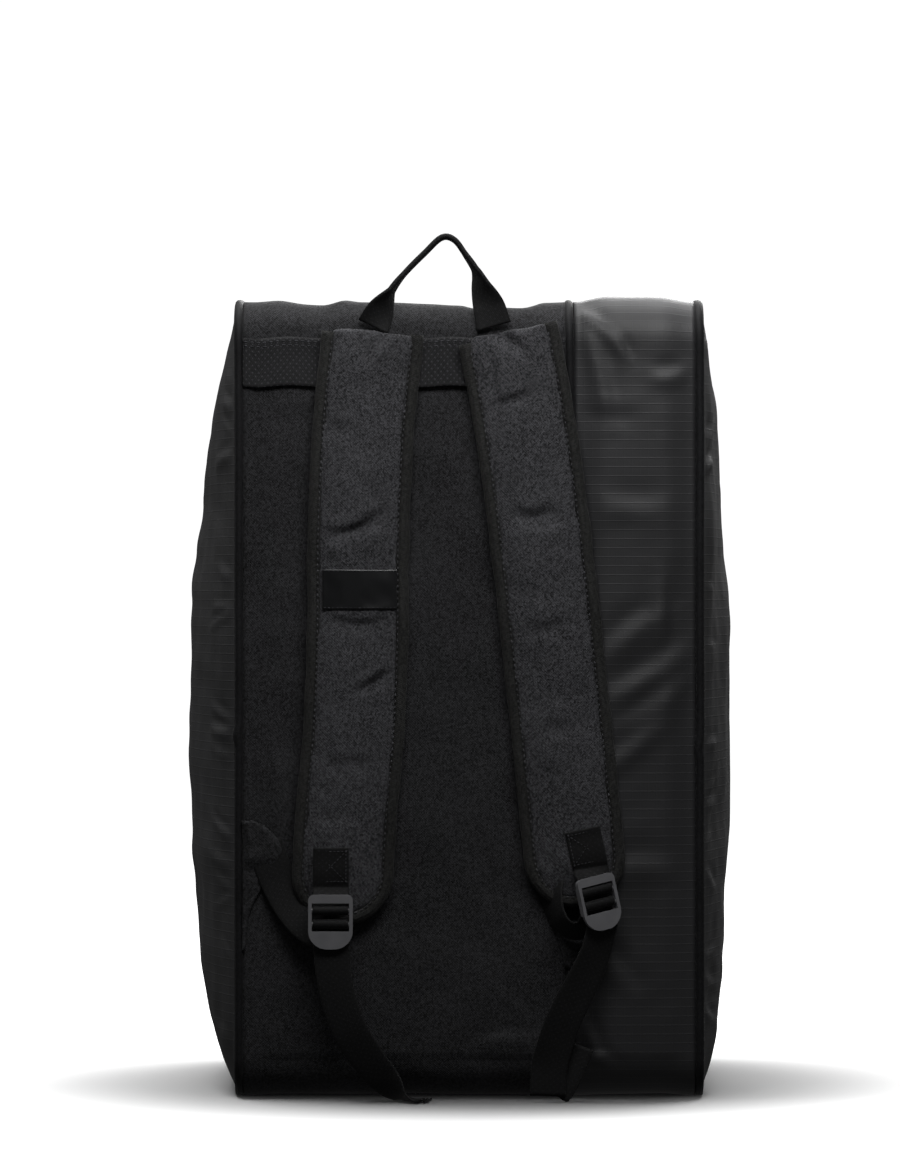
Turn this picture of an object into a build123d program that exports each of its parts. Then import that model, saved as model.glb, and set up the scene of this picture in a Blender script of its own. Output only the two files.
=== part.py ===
"""Racket tournament bag, standing on its end. Millimetres, +Z up.

The side with the shoulder straps faces -Y and the side that opens faces +Y. X runs across the bag, from the
wide main compartment (-X) to the narrow racket compartment (+X). The origin is on the floor, at the middle
of the whole bag's footprint.
"""

import os
from math import cos, radians, sin

from build123d import *

# ---- Overall sizes ----
height = 560.0
depth = 280.0
main_width = 232.0
racket_width = 91.0
left_bulge = 42.0
right_bulge = 29.0
corner_back_bottom = 30.0
corner_front_bottom = 40.0
corner_front_top = 50.0
corner_back_top = 30.0
least_corner = 10.0

# ---- Fabric, foam and piping ----
wall = 2.5
flat_gap = 0.2
piping_width = 6.0
piping_height = 5.0
piping_round = 2.4
divider_thickness = 2.4
foam_thickness = 6.0
board_thickness = 3.0
lining_thickness = 1.0
inner_margin = 8.0
dome_lip = 6.0
dome_steps = [(0, 0.0), (30, 0.42), (75, 0.76), (115, 1.0)]
mesh_thickness = 1.0
mesh_width, mesh_height = 180.0, 200.0

# ---- Zips ----
zip_gap = 8.0
zip_corner = 20.0
zip_clearance = 0.3
tape_reach = 9.0
tape_thickness = 1.0
coil_width = 1.5
coil_height = 1.2
door_end_margin = 12.0
lid_hinge_margin = 25.0
lid_free_margin = 28.0
flap_hinge_margin = 8.0
flap_free_margin = 16.0
slider_length = 11.0
slider_body = 3.4
slider_clearance = 0.4
slider_width = 7.0
slider_round = 1.5
cheek_width, cheek_length, cheek_height = 1.2, 3.0, 3.3
cheek_centre = 2.2
pin_radius = 0.9
pin_height = 2.2
pull_hole = 1.15
pull_ring = 2.0
pull_ring_width = 2.8
pull_width, pull_length, pull_thickness = 8.0, 28.0, 1.6
pull_shoulder = 4.0
slider_spacing = 44.0
pocket_zip_margin = 19.5
pocket_zip_drop = 70.0
pouch_depth = 170.0

# ---- Anchor band, straps and handle ----
band_top_drop = 27.0
band_width = 34.0
band_thickness = 1.5
strap_clearance = 0.7
strap_width = 70.0
strap_thickness = 12.0
strap_top_drop = 22.0
binding_width = 8.0
binding_thickness = 5.0
webbing_width = 25.0
webbing_thickness = 1.6
label_width, label_height, label_thickness = 52.0, 28.0, 0.8
label_drop = 181.0
handle_width = 21.0
handle_thickness = 2.0
handle_rise = 45.0
handle_clearance = 2.5
handle_arch_start = 26.0
handle_round = 8.0

# ---- Ladder-lock buckles ----
buckle_width = 31.0
buckle_above, buckle_below = 11.0, 27.0
buckle_thickness = 4.4
window_above, window_below = 5.0, 14.5
rail_width = 2.5
bar_radius = 1.6
bar_spacing = 9.5
loop_clearance = 0.25
bar_clearance = 0.1
loop_stand = 7.75
floor_gap = 1.0
buckle_corner = 4.0
tab_round = 13.0
tab_thickness = 2.4
tail_gap, tail_drop = 8.5, 7.5
patch_length = 24.0
patch_slope_start, patch_slope_end = 14.0, 19.0
patch_bend, patch_lean = 6.0, 1.5

# ---- Places worked out from those sizes ----
front_stand = slider_clearance + coil_height + slider_body + pin_height + pull_ring - wall
loop_radius = bar_radius + loop_clearance
loop_outer = loop_radius + webbing_thickness
loop_to_pad = loop_outer + loop_stand
strap_gap = band_thickness + strap_clearance
buckle_reach = strap_gap + strap_thickness + loop_to_pad
back_stand = buckle_reach + loop_outer
x_left = -(left_bulge + main_width + racket_width + right_bulge) / 2 + left_bulge
x_middle = x_left + main_width
x_right = x_middle + racket_width
y_back = -(depth + front_stand - back_stand) / 2
y_front = y_back + depth
y_tape = y_front - wall
y_strap = y_back - strap_gap
y_pad = y_strap - strap_thickness
y_buckle = y_back - buckle_reach
half_piping = piping_width / 2
half_gap = zip_gap / 2
door_low = corner_front_bottom + door_end_margin
door_high = height - corner_front_top - door_end_margin
lid_hinge = x_left + lid_hinge_margin
lid_free = x_middle - lid_free_margin
pocket_zip_length = lid_free - lid_hinge - 2 * pocket_zip_margin
flap_hinge = x_right - flap_hinge_margin
flap_free = x_middle + flap_free_margin
seam_back_top = height - band_top_drop
strap_top = height - strap_top_drop
handle_foot = strap_top + handle_clearance
y_handle = y_back - handle_clearance

# Shoulder straps: the centre line's X and its drop below the top seam, down to the middle of the round end.
left_strap_path = [(-60, 0), (-70, 108), (-72, 268), (-82, 380)]
right_strap_path = [(33, 0), (51, 108), (68, 248), (80, 368)]
strap_bends = [900, 500]
# Each buckle's top bar, from the middle of its strap's round end, and the buckle's turn in degrees.
left_buckle_offset, left_buckle_turn = (-8, -24), 0.0
right_buckle_offset, right_buckle_turn = (15, -23), -12.0
# Loose ends below the buckles: X, and height as a share of the height at which they leave the buckle.
left_tail_path = [(-86, 0.72), (-76, 0.48), (-57, 0.21), (-34, 0.03)]
right_tail_path = [(80, 0.66), (67, 0.39), (59, 0.11)]
tail_bend, anchor_bend = 45.0, 25.0
# Where each strap's lower webbing is sewn in: height above the middle of the strap's round end.
left_anchor_rise, right_anchor_rise = 30.0, 8.0
anchor_reach, anchor_tall, sewn_drop = 18.0, 75.0, 22.0
landing_offset = (6.0, 8.0)
knee_offset = (3.0, 9.0)
handle_feet = (-62, 21)
handle_knees = (-49, 14)
handle_top_x = -13

parts = {}


def block(x0, x1, y0, y1, z0, z1):
    """A box from its limits."""
    return Pos((x0 + x1) / 2, (y0 + y1) / 2, (z0 + z1) / 2) * Box(x1 - x0, y1 - y0, z1 - z0)


def section(inset):
    """The bag's side outline, drawn in by inset all round, as a face in the YZ plane."""
    y0, y1 = y_back + inset, y_front - inset
    z0, z1 = inset, height - inset
    rounds = (corner_back_bottom, corner_front_bottom, corner_front_top, corner_back_top)
    line = FilletPolyline(
        (y0, z0), (y1, z0), (y1, z1), (y0, z1),
        radius=[max(r - inset, least_corner) for r in rounds],
        close=True,
    )
    return Plane.YZ * make_face(line)


def along_x(face, x0, x1):
    """A face of the YZ plane made solid from x0 to x1."""
    return Pos(x0, 0, 0) * extrude(face, amount=x1 - x0, dir=(1, 0, 0))


def ring(x0, x1, inset, thickness):
    """A wall that follows the side outline all the way round."""
    return along_x(section(inset), x0, x1) - along_x(section(inset + thickness), x0 - 1, x1 + 1)


def in_front_plane(face, y0, y1):
    """A face drawn in X and Z made solid from y0 to y1."""
    upright = Plane((0, y0, 0), x_dir=(1, 0, 0), z_dir=(0, -1, 0)) * face
    return extrude(upright, amount=y1 - y0, dir=(0, 1, 0))


def door_shape(hinge, free, grow):
    """A zipped door's outline in X and Z: square on the hinge side and round on the free side."""
    way = 1 if free > hinge else -1
    edge = free + way * grow
    z0, z1 = door_low - grow, door_high + grow
    turn = zip_corner + grow
    line = FilletPolyline(
        (hinge, z0), (edge, z0), (edge, z1), (hinge, z1),
        radius=[0, turn, turn, 0],
        close=True,
    )
    return make_face(line)


def u_tape(hinge, free, inner, outer):
    """One side of a U-shaped zip: the tape behind the fabric, with its coil standing on the edge."""
    near, far = sorted((inner, outer), key=abs)
    coil = near + (coil_width if far > near else -coil_width)
    tape_ring = door_shape(hinge, free, max(near, far)) - door_shape(hinge, free, min(near, far))
    coil_ring = door_shape(hinge, free, max(near, coil)) - door_shape(hinge, free, min(near, coil))
    tape = in_front_plane(tape_ring, y_tape - tape_thickness, y_tape)
    return tape + in_front_plane(coil_ring, y_tape, y_tape + coil_height)


def band(points, bends, width, y0, y1, round_end=False):
    """A flat strip of fabric that follows a line in X and Z, square at its top end."""
    line = FilletPolyline(*points, radius=bends) if bends else Polyline(*points)
    face = make_face(line.offset_2d(width / 2)) if round_end else trace(line, line_width=width)
    return in_front_plane(face, y0, y1)


def walls(x0, x1, hinge, free, names):
    """The fabric between two pipings, cut into the panels that are sewn together round one door."""
    back_name, top_name, bottom_name, hinge_name, free_name = names
    far = depth + height
    skin = ring(x0, x1, 0, wall)
    back = block(-far, far, -far, y_back + corner_back_bottom / 2, corner_back_bottom, seam_back_top)
    doors = block(-far, far, 0, far, door_low - half_gap, door_high + half_gap)
    upper = block(-far, far, -far, far, height / 2, far)
    hole = in_front_plane(door_shape(hinge, free, half_gap), y_tape - 1, y_front + 1)
    strips = (skin & doors) - hole
    ends = skin - back - doors
    parts[back_name] = skin & back
    parts[top_name] = ends & upper
    parts[bottom_name] = ends - upper
    way = 1 if free > hinge else -1
    fixed = hinge - way * zip_clearance
    parts[hinge_name] = strips & block(*sorted((fixed, fixed - way * far)), 0, far, 0, far)
    parts[free_name] = strips & block(*sorted((hinge, hinge + way * far)), 0, far, 0, far)


def main_compartment():
    names = ("back_panel", "top_panel", "bottom_panel", "front_left_strip", "front_right_strip")
    walls(x_left + half_piping, x_middle - half_piping, lid_hinge, lid_free, names)
    parts["left_side_panel"] = dome(x_left - half_piping, -(left_bulge - half_piping))
    x_face = x_middle - divider_thickness / 2
    parts["divider"] = along_x(section(piping_height), x_face, x_face + divider_thickness)
    half_mesh, z_mesh = mesh_width / 2, height / 2
    parts["mesh_pocket"] = block(
        x_face - mesh_thickness, x_face, -half_mesh, half_mesh, z_mesh, z_mesh + mesh_height
    )
    x0, x1 = x_left + inner_margin, x_middle - inner_margin
    inside = y_back + wall
    z0, z1 = corner_back_bottom + inner_margin, seam_back_top - inner_margin
    parts["back_foam"] = block(x0, x1, inside, inside + foam_thickness, z0, z1)
    parts["base_board"] = block(
        x0, x1, y_back + corner_back_bottom, y_front - corner_front_bottom, wall, wall + board_thickness
    )


def racket_compartment():
    names = (
        "racket_back_panel", "racket_top_panel", "racket_bottom_panel",
        "racket_hinge_strip", "racket_front_strip",
    )
    x0, x1 = x_middle + half_piping, x_right - half_piping
    walls(x0, x1, flap_hinge, flap_free, names)
    parts["right_side_panel"] = dome(x_right + half_piping, right_bulge - half_piping)
    far = depth + height
    open_front = block(-far, far, y_front - corner_front_top, far, 0, far)
    parts["thermal_lining"] = ring(x0, x1, wall, lining_thickness) - open_front


def dome(x0, bulge):
    """A side panel that bulges outwards from its piping."""
    skin = wall if bulge > 0 else -wall
    outer = [(inset, bulge * share) for inset, share in dome_steps]
    inner = [(dome_lip, 0)] + [(inset, rise - skin) for inset, rise in outer[1:]]
    solids = [
        loft([Pos(x0 + rise, 0, 0) * section(inset) for inset, rise in rows], ruled=True)
        for rows in (outer, inner)
    ]
    return solids[0] - solids[1]


def pipings():
    for name, x in (("left_piping", x_left), ("middle_piping", x_middle), ("right_piping", x_right)):
        slab = along_x(section(0), x - half_piping, x + half_piping)
        slab = fillet(slab.edges().filter_by(Plane.YZ), piping_round)
        parts[name] = slab - along_x(section(piping_height), x - piping_width, x + piping_width)


def lid():
    z_zip = door_high - pocket_zip_drop
    x_mid = (lid_hinge + lid_free) / 2
    x0, x1 = x_mid - pocket_zip_length / 2, x_mid + pocket_zip_length / 2
    panel = in_front_plane(door_shape(lid_hinge, lid_free, -half_gap), y_tape, y_front)
    parts["lid_panel"] = panel - block(x0, x1, y_tape - 1, y_front + 1, z_zip - half_gap, z_zip + half_gap)
    parts["lid_zip_tape"] = u_tape(lid_hinge, lid_free, -zip_clearance, -tape_reach)
    parts["lid_frame_tape"] = u_tape(lid_hinge, lid_free, zip_clearance, tape_reach)
    y_pouch = y_tape - tape_thickness
    wide = (x0 - half_gap, x1 + half_gap)
    tape = block(*wide, y_pouch, y_tape, z_zip - tape_reach, z_zip + tape_reach)
    coil = block(x0, x1, y_tape, y_tape + coil_height, z_zip - coil_width, z_zip + coil_width)
    parts["pocket_zip_tape"] = tape + coil
    z_top = z_zip + tape_reach
    parts["pocket_pouch"] = block(*wide, y_pouch - lining_thickness, y_pouch, z_top - pouch_depth, z_top)


def racket_flap():
    parts["racket_flap"] = in_front_plane(door_shape(flap_hinge, flap_free, -half_gap), y_tape, y_front)
    parts["flap_zip_tape"] = u_tape(flap_hinge, flap_free, -zip_clearance, -tape_reach)
    parts["flap_frame_tape"] = u_tape(flap_hinge, flap_free, zip_clearance, tape_reach)


def slider():
    """Zip slider. Its own X runs across the zip, Y along it and Z outwards from the face of the tape."""
    base = coil_height + slider_clearance
    top = base + slider_body
    body = Pos(0, 0, base + slider_body / 2) * Box(slider_width, slider_length, slider_body)
    body = fillet(body.edges().filter_by(Axis.Z), slider_round)
    cheek = Box(cheek_width, cheek_length, cheek_height)
    for x in (-cheek_centre, cheek_centre):
        body += Pos(x, 0, top + cheek_height / 2) * cheek
    pin = Rot(0, 90, 0) * Cylinder(pin_radius, 2 * cheek_centre + cheek_width)
    return body + Pos(0, 0, top + pin_height) * pin


def pull():
    """Zip pull that hangs on the slider's pin, in the slider's own axes."""
    z = coil_height + slider_clearance + slider_body + pin_height
    eye = Rot(0, 90, 0) * (Cylinder(pull_ring, pull_ring_width) - Cylinder(pull_hole, 2 * pull_ring_width))
    neck_start, neck_end = pull_hole + zip_clearance, pull_shoulder + 1
    neck = Pos(0, -(neck_start + neck_end) / 2, 0) * Box(pull_ring_width, neck_end - neck_start, pull_thickness)
    grip = Pos(0, -(pull_shoulder + pull_length) / 2, 0) * Box(
        pull_width, pull_length - pull_shoulder, pull_thickness
    )
    grip = fillet(grip.edges().filter_by(Axis.Z), pull_width * 0.3)
    return Pos(0, 0, z) * (eye + neck + grip)


def zip_places():
    """Where each slider sits: its origin and its axes, with Z outwards and Y along its zip."""
    middle = (door_low + door_high) / 2
    upright = {"x_dir": (-1, 0, 0), "z_dir": (0, 1, 0)}
    level = {"x_dir": (0, 0, -1), "z_dir": (0, 1, 0)}
    x_mid = (lid_hinge + lid_free) / 2
    return {
        "lid_upper": Plane((lid_free, y_tape, middle + slider_spacing / 2), **upright),
        "lid_lower": Plane((lid_free, y_tape, middle - slider_spacing / 2), **upright),
        "flap_upper": Plane((flap_free, y_tape, middle + slider_spacing / 2), **upright),
        "flap_lower": Plane((flap_free, y_tape, middle - slider_spacing / 2), **upright),
        "pocket": Plane(
            (x_mid - pocket_zip_length / 2 + slider_length, y_tape, door_high - pocket_zip_drop), **level
        ),
    }


def zips():
    for name, plane in zip_places().items():
        parts[f"{name}_slider"] = plane * slider()
        parts[f"{name}_pull"] = plane * pull()


def shoulder_strap(side, path):
    """Foam pad, and the binding tape round its edge."""
    line = [(x, strap_top - drop) for x, drop in path]
    outline = band(line, strap_bends, strap_width, y_pad, y_strap, round_end=True)
    inner = band(line, strap_bends, strap_width - 2 * binding_width, y_pad, y_strap, round_end=True)
    middle = (y_pad + y_strap) / 2
    below = block(-height, height, -depth, depth, -height, strap_top)
    slab = block(
        -height, height, middle - binding_thickness / 2, middle + binding_thickness / 2, -height, strap_top
    )
    parts[f"{side}_strap_pad"] = inner & below
    parts[f"{side}_strap_binding"] = (outline - inner) & slab


def buckle():
    """Ladder-lock buckle. Its origin is the middle of the top bar, and +Y points at the bag."""
    tall = buckle_above + buckle_below
    frame = Pos(0, 0, (buckle_above - buckle_below) / 2) * Box(buckle_width, buckle_thickness, tall)
    upright = frame.edges().filter_by(Axis.Y).group_by(Axis.Z)
    frame = fillet(upright[-1], buckle_corner)
    frame = fillet(frame.edges().filter_by(Axis.Y).group_by(Axis.Z)[0], tab_round)
    window = block(
        -buckle_width / 2 + rail_width, buckle_width / 2 - rail_width, -buckle_thickness, buckle_thickness,
        -window_below, window_above,
    )
    behind = -buckle_thickness / 2 + tab_thickness
    relief = block(-buckle_width, buckle_width, behind, buckle_thickness, -buckle_below - 1, -window_below)
    crest = block(
        -buckle_width, buckle_width, behind + 1, buckle_thickness, window_above, buckle_above + 1
    )
    frame = frame - window - relief - crest
    bar = Rot(0, 90, 0) * Cylinder(bar_radius, buckle_width - rail_width)
    return frame + bar + Pos(0, 0, -bar_spacing) * bar


def patch():
    """Webbing sewn to the pad, with the loop that goes round the buckle's top bar."""
    loop = Rot(0, 90, 0) * (Cylinder(loop_outer, webbing_width) - Cylinder(loop_radius, webbing_width + 2))
    half = webbing_thickness / 2
    flat = loop_to_pad - half
    start = loop_radius + half
    line = FilletPolyline(
        (start, 0), (flat - patch_lean, patch_slope_start), (flat, patch_slope_end),
        (flat, patch_slope_end + patch_length),
        radius=patch_bend,
    )
    strip = extrude(Plane.YZ * trace(line, line_width=webbing_thickness), amount=webbing_width / 2, both=True)
    bore = Rot(0, 90, 0) * Cylinder(loop_radius, webbing_width + 2)
    return loop + strip - bore


def bar_wrap():
    """Webbing folded over the buckle's lower bar, with its leg going down behind the tab."""
    inner = bar_radius + bar_clearance
    outer = inner + webbing_thickness
    fold = Rot(0, 90, 0) * (Cylinder(outer, webbing_width) - Cylinder(inner, webbing_width + 2))
    leg = block(-webbing_width / 2, webbing_width / 2, inner, outer, -(tail_gap - 1), 0)
    return Pos(0, 0, -bar_spacing) * (fold + leg)


def strap_hardware(side, path, offset, turn, tail_path, anchor_x, anchor_rise):
    """Buckle, the webbing through it, and the tab that holds the strap's lower end to the bag."""
    end_x, end_z = path[-1][0], strap_top - path[-1][1]
    x, z = end_x + offset[0], end_z + offset[1]
    place = Pos(x, y_buckle, z) * Rot(0, turn, 0)
    parts[f"{side}_strap_patch"] = place * patch()
    parts[f"{side}_buckle"] = place * buckle()
    parts[f"{side}_bar_wrap"] = place * bar_wrap()
    down = bar_spacing + tail_gap + tail_drop
    start = (x - down * sin(radians(turn)), z - down * cos(radians(turn)))
    near = y_buckle + bar_radius + bar_clearance
    points = [start] + [(px, share * start[1]) for px, share in tail_path]
    tail = band(points, [tail_bend] * (len(points) - 2), webbing_width, near, near + webbing_thickness)
    parts[f"{side}_tail_webbing"] = tail & block(-height, height, -depth, depth, floor_gap, height)
    way = 1 if anchor_x < end_x else -1
    anchor_tab(side, anchor_x, end_z + anchor_rise, way)
    sewn = (anchor_x + way * (anchor_reach - flat_gap), end_z + anchor_rise - sewn_drop)
    landing = (start[0] - landing_offset[0], start[1] - landing_offset[1])
    knee = ((sewn[0] + landing[0]) / 2 - knee_offset[0], (sewn[1] + landing[1]) / 2 - knee_offset[1])
    y_flat = y_back - 2 * flat_gap - webbing_thickness
    flat = band([sewn, knee, landing], [anchor_bend], webbing_width, y_flat, y_flat + webbing_thickness)
    rise = [
        (y_flat + webbing_thickness / 2, landing[1]),
        (near + 1.5 * webbing_thickness + flat_gap, start[1] + flat_gap),
    ]
    leg = Plane.YZ * trace(Polyline(*rise), line_width=webbing_thickness)
    leg = Pos(start[0], 0, 0) * extrude(leg, amount=webbing_width / 2, both=True)
    parts[f"{side}_anchor_webbing"] = flat + leg


def anchor_tab(side, x, z, way):
    """Fabric tab sewn into a piping, which spreads the pull of the webbing."""
    line = Polyline(
        (x, z), (x + way * anchor_reach, z - anchor_reach), (x + way * anchor_reach, z - anchor_tall / 2),
        (x, z - anchor_tall), close=True,
    )
    parts[f"{side}_anchor_tab"] = in_front_plane(make_face(line), y_back - flat_gap, y_back)


def anchor_band():
    z1 = seam_back_top
    parts["anchor_band"] = block(
        x_left + half_piping, x_middle - half_piping, y_back - band_thickness, y_back, z1 - band_width, z1
    )


def label():
    x, z = left_strap_path[1][0], strap_top - label_drop
    parts["strap_label"] = block(
        x - label_width / 2, x + label_width / 2, y_pad - label_thickness, y_pad,
        z - label_height / 2, z + label_height / 2,
    )


def haul_handle():
    """Webbing loop: flat feet, and an arch turned edge-on to the straps' side."""
    half = handle_thickness / 2
    start = handle_foot + handle_arch_start
    top = height + handle_rise - half
    legs = [
        band([(foot, handle_foot), (knee, start + half)], [], handle_width, y_handle - half, y_handle + half)
        for foot, knee in zip(handle_feet, handle_knees)
    ]
    line = FilletPolyline(
        (handle_knees[0], start), (handle_top_x, top), (handle_knees[1], start), radius=[handle_round]
    )
    arch = in_front_plane(
        trace(line, line_width=handle_thickness), y_handle - handle_width / 2, y_handle + handle_width / 2
    )
    feet = block(-height, height, -depth, depth, handle_foot, height * 2)
    parts["haul_handle"] = (legs[0] + legs[1] + arch) & feet


def build():
    main_compartment()
    racket_compartment()
    pipings()
    lid()
    racket_flap()
    zips()
    anchor_band()
    haul_handle()
    shoulder_strap("left", left_strap_path)
    shoulder_strap("right", right_strap_path)
    label()
    strap_hardware(
        "left", left_strap_path, left_buckle_offset, left_buckle_turn, left_tail_path,
        x_left + half_piping, left_anchor_rise,
    )
    strap_hardware(
        "right", right_strap_path, right_buckle_offset, right_buckle_turn, right_tail_path,
        x_middle - half_piping, right_anchor_rise,
    )


def export():
    os.makedirs("parts", exist_ok=True)
    for name, shape in parts.items():
        export_step(shape, f"parts/{name}.step")


build()
export()
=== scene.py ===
# %% [markdown]
# # A racket tournament bag in black cloth
# The bag stands on its end and shows the side with the shoulder straps. Its hard facts, which are the
# sizes, the hinges and the zips' travel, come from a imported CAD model. This notebook only makes the looks:
# canvas, coated ripstop, piping, webbing, padded straps, buckles and zips. It starts by loading that model.

# %% Load the frame
import math

import bmesh
import bpy
import numpy as np
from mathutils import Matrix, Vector, bvhtree


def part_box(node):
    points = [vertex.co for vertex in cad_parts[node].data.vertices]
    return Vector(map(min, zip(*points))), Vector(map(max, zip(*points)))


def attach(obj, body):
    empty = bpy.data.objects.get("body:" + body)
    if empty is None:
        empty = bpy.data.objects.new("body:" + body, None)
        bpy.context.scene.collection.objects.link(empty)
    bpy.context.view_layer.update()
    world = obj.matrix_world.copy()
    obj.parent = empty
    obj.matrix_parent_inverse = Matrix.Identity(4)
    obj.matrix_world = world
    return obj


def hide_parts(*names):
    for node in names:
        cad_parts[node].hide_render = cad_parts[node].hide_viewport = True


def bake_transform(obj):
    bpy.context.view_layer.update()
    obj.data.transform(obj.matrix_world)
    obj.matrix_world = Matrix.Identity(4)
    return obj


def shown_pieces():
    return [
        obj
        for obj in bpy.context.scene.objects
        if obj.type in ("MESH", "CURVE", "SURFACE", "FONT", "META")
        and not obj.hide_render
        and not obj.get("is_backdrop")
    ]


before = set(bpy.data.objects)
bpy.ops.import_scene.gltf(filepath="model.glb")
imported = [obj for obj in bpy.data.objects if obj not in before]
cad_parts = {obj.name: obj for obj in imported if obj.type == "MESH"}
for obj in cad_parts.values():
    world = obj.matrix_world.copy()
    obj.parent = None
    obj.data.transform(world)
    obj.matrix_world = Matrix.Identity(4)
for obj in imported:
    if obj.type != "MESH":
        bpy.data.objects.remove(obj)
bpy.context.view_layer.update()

# %% [markdown]
# ## Working in millimetres
# A bag maker thinks in millimetres, and Blender's unit here is the metre. Every shape below is worked out in
# millimetres with numpy arrays, and is turned to metres once, when its mesh is made. The places of the seams
# and doors are read from the CAD nodes' boxes, so the cloth follows the pattern if a size changes.

# %% Read the pattern's places
MM = 0.001


def span(node):
    """A CAD node's lowest and highest corners in millimetres."""
    low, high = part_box(node)
    return np.array(low) / MM, np.array(high) / MM


piping_low, piping_high = span("left_piping")
y_back, y_front, bag_top = piping_low[1], piping_high[1], piping_high[2]
seam = {side: (span(f"{side}_piping")[0][0] + span(f"{side}_piping")[1][0]) / 2
        for side in ("left", "middle", "right")}
piping_half = 3.0
print("depth", round(y_front - y_back), "height", round(bag_top))
print("seams at", {k: round(v) for k, v in seam.items()})

# %% [markdown]
# ## The side outline
# Seen from the side, the bag is a rectangle with four round corners. Its cloth is a strip that runs all the
# way round that outline, and the pipings, walls and zips follow it too. So one table of points with their
# outward directions, measured by arc length, places them all. Length 0 is the back panel's lower seam, and it
# grows up the back, over the top, down the front and under the floor.

# %% Tabulate the outline
corner = {"back_top": 30.0, "front_top": 50.0, "front_bottom": 40.0, "back_bottom": 30.0}


arc_points = 25


def corner_arcs():
    """Centre, radius and start angle of each corner, from the back's top round to its foot."""
    places = {"back_top": (1, 1), "front_top": (-1, 1), "front_bottom": (-1, 0), "back_bottom": (1, 0)}
    arcs = []
    for start, (name, (side, above)) in zip((180, 90, 0, -90), places.items()):
        r = corner[name]
        arcs.append(((y_back + r if side > 0 else y_front - r, bag_top - r if above else r), r, start))
    return arcs


def outline_table():
    """Arc lengths, and for each its Y, Z and outward direction."""
    rows = [(y_back, corner["back_bottom"], -1.0, 0.0)]
    for (cy, cz), radius, start in corner_arcs():
        for a in np.radians(np.linspace(start, start - 90, arc_points)):
            rows.append((cy + radius * math.cos(a), cz + radius * math.sin(a), math.cos(a), math.sin(a)))
    rows = np.array(rows)
    steps = np.hypot(np.diff(rows[:, 0]), np.diff(rows[:, 1]))
    return np.r_[0, np.cumsum(steps)], rows


outline_s, outline_rows = outline_table()
outline_length = outline_s[-1]


def on_outline(s):
    """Y, Z and the outward direction's Y and Z at arc length s."""
    s = np.mod(s, outline_length)
    return [np.interp(s, outline_s, outline_rows[:, k]) for k in range(4)]


top_start, top_end = outline_s[arc_points], outline_s[arc_points + 1]
front_start, under_start = outline_s[2 * arc_points], outline_s[3 * arc_points]


def s_back(z):
    """Arc length at a height on the back."""
    return z - corner["back_bottom"]


def s_front(z):
    """Arc length at a height on the front."""
    return front_start + (bag_top - corner["front_top"] - z)


print("outline length", round(outline_length), "front starts at", round(front_start))

# %% [markdown]
# ## Small tools for soft shapes
# Cloth never lies quite flat. Three small tools give it life: a smooth curve through a few values, a slow
# ripple made of seeded waves, and a fold, which is a ridge with a valley beside it along a short curve.

# %% Curves, ripples and folds
def through(points, x):
    """A smooth curve through a few (x, value) points."""
    points = np.array(points, float)
    i = np.clip(np.searchsorted(points[:, 0], x) - 1, 0, len(points) - 2)
    t = np.clip((x - points[i, 0]) / (points[i + 1, 0] - points[i, 0]), 0, 1)
    t = t * t * (3 - 2 * t)
    return points[i, 1] * (1 - t) + points[i + 1, 1] * t


wave_count = 9


def ripple(a, b, wavelength, seed, stretch=1.0):
    """Slow unevenness about 1 high: waves of nearly one length in all directions."""
    r = np.random.default_rng(seed)
    total = np.zeros_like(a, dtype=float)
    for _ in range(wave_count):
        angle, phase = r.uniform(0, math.pi), r.uniform(0, 2 * math.pi)
        k = 2 * math.pi / (wavelength * r.uniform(0.7, 1.5))
        total += np.cos(k * (a * math.cos(angle) * stretch + b * math.sin(angle)) + phase)
    return total / math.sqrt(wave_count)


def fold(a, b, start, middle, end, width, height):
    """A ridge along a bent line, with a shallower valley on its left, fading out at both ends."""
    t = np.linspace(0, 1, 22)[:, None]
    line = (1 - t) ** 2 * np.array(start) + 2 * t * (1 - t) * np.array(middle) + t * t * np.array(end)
    way = np.gradient(line, axis=0)
    way /= np.linalg.norm(way, axis=1, keepdims=True)
    flat_a, flat_b = a.ravel(), b.ravel()
    best = np.full(flat_a.shape, 1e9)
    side, along = np.zeros_like(best), np.zeros_like(best)
    for k in range(len(line)):
        da, db = flat_a - line[k, 0], flat_b - line[k, 1]
        d = np.hypot(da, db)
        near = d < best
        best[near], along[near] = d[near], t[k, 0]
        side[near] = np.sign(way[k, 0] * db - way[k, 1] * da)[near]
    d = best * side / width
    fade = np.clip(np.sin(math.pi * (0.06 + 0.88 * along)), 0, 1)
    shape = np.exp(-d * d) - 0.7 * np.exp(-((d - 1.5) ** 2))
    return (height * shape * fade).reshape(a.shape)


def smoothstep(x, low, high):
    """0 up to low, 1 from high on, and a smooth rise between them."""
    t = np.clip((x - low) / (high - low), 0, 1)
    return t * t * (3 - 2 * t)


def smooth_path(points, step):
    """A Catmull-Rom curve through points, cut into even steps."""
    p = np.array(points, float)
    p = np.vstack([2 * p[0] - p[1], p, 2 * p[-1] - p[-2]])
    t = np.linspace(0, 1, 40, endpoint=False)[:, None]
    runs = []
    for a, b, c, d in zip(p, p[1:], p[2:], p[3:]):
        runs.append(0.5 * (2 * b + (c - a) * t + (2 * a - 5 * b + 4 * c - d) * t ** 2
                           + (3 * b - a - 3 * c + d) * t ** 3))
    line = np.vstack(runs + [p[-2:-1]])
    length = np.r_[0, np.cumsum(np.linalg.norm(np.diff(line, axis=0), axis=1))]
    even = np.linspace(0, length[-1], max(2, int(round(length[-1] / step)) + 1))
    return np.stack([np.interp(even, length, line[:, k]) for k in range(line.shape[1])], 1)


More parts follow.
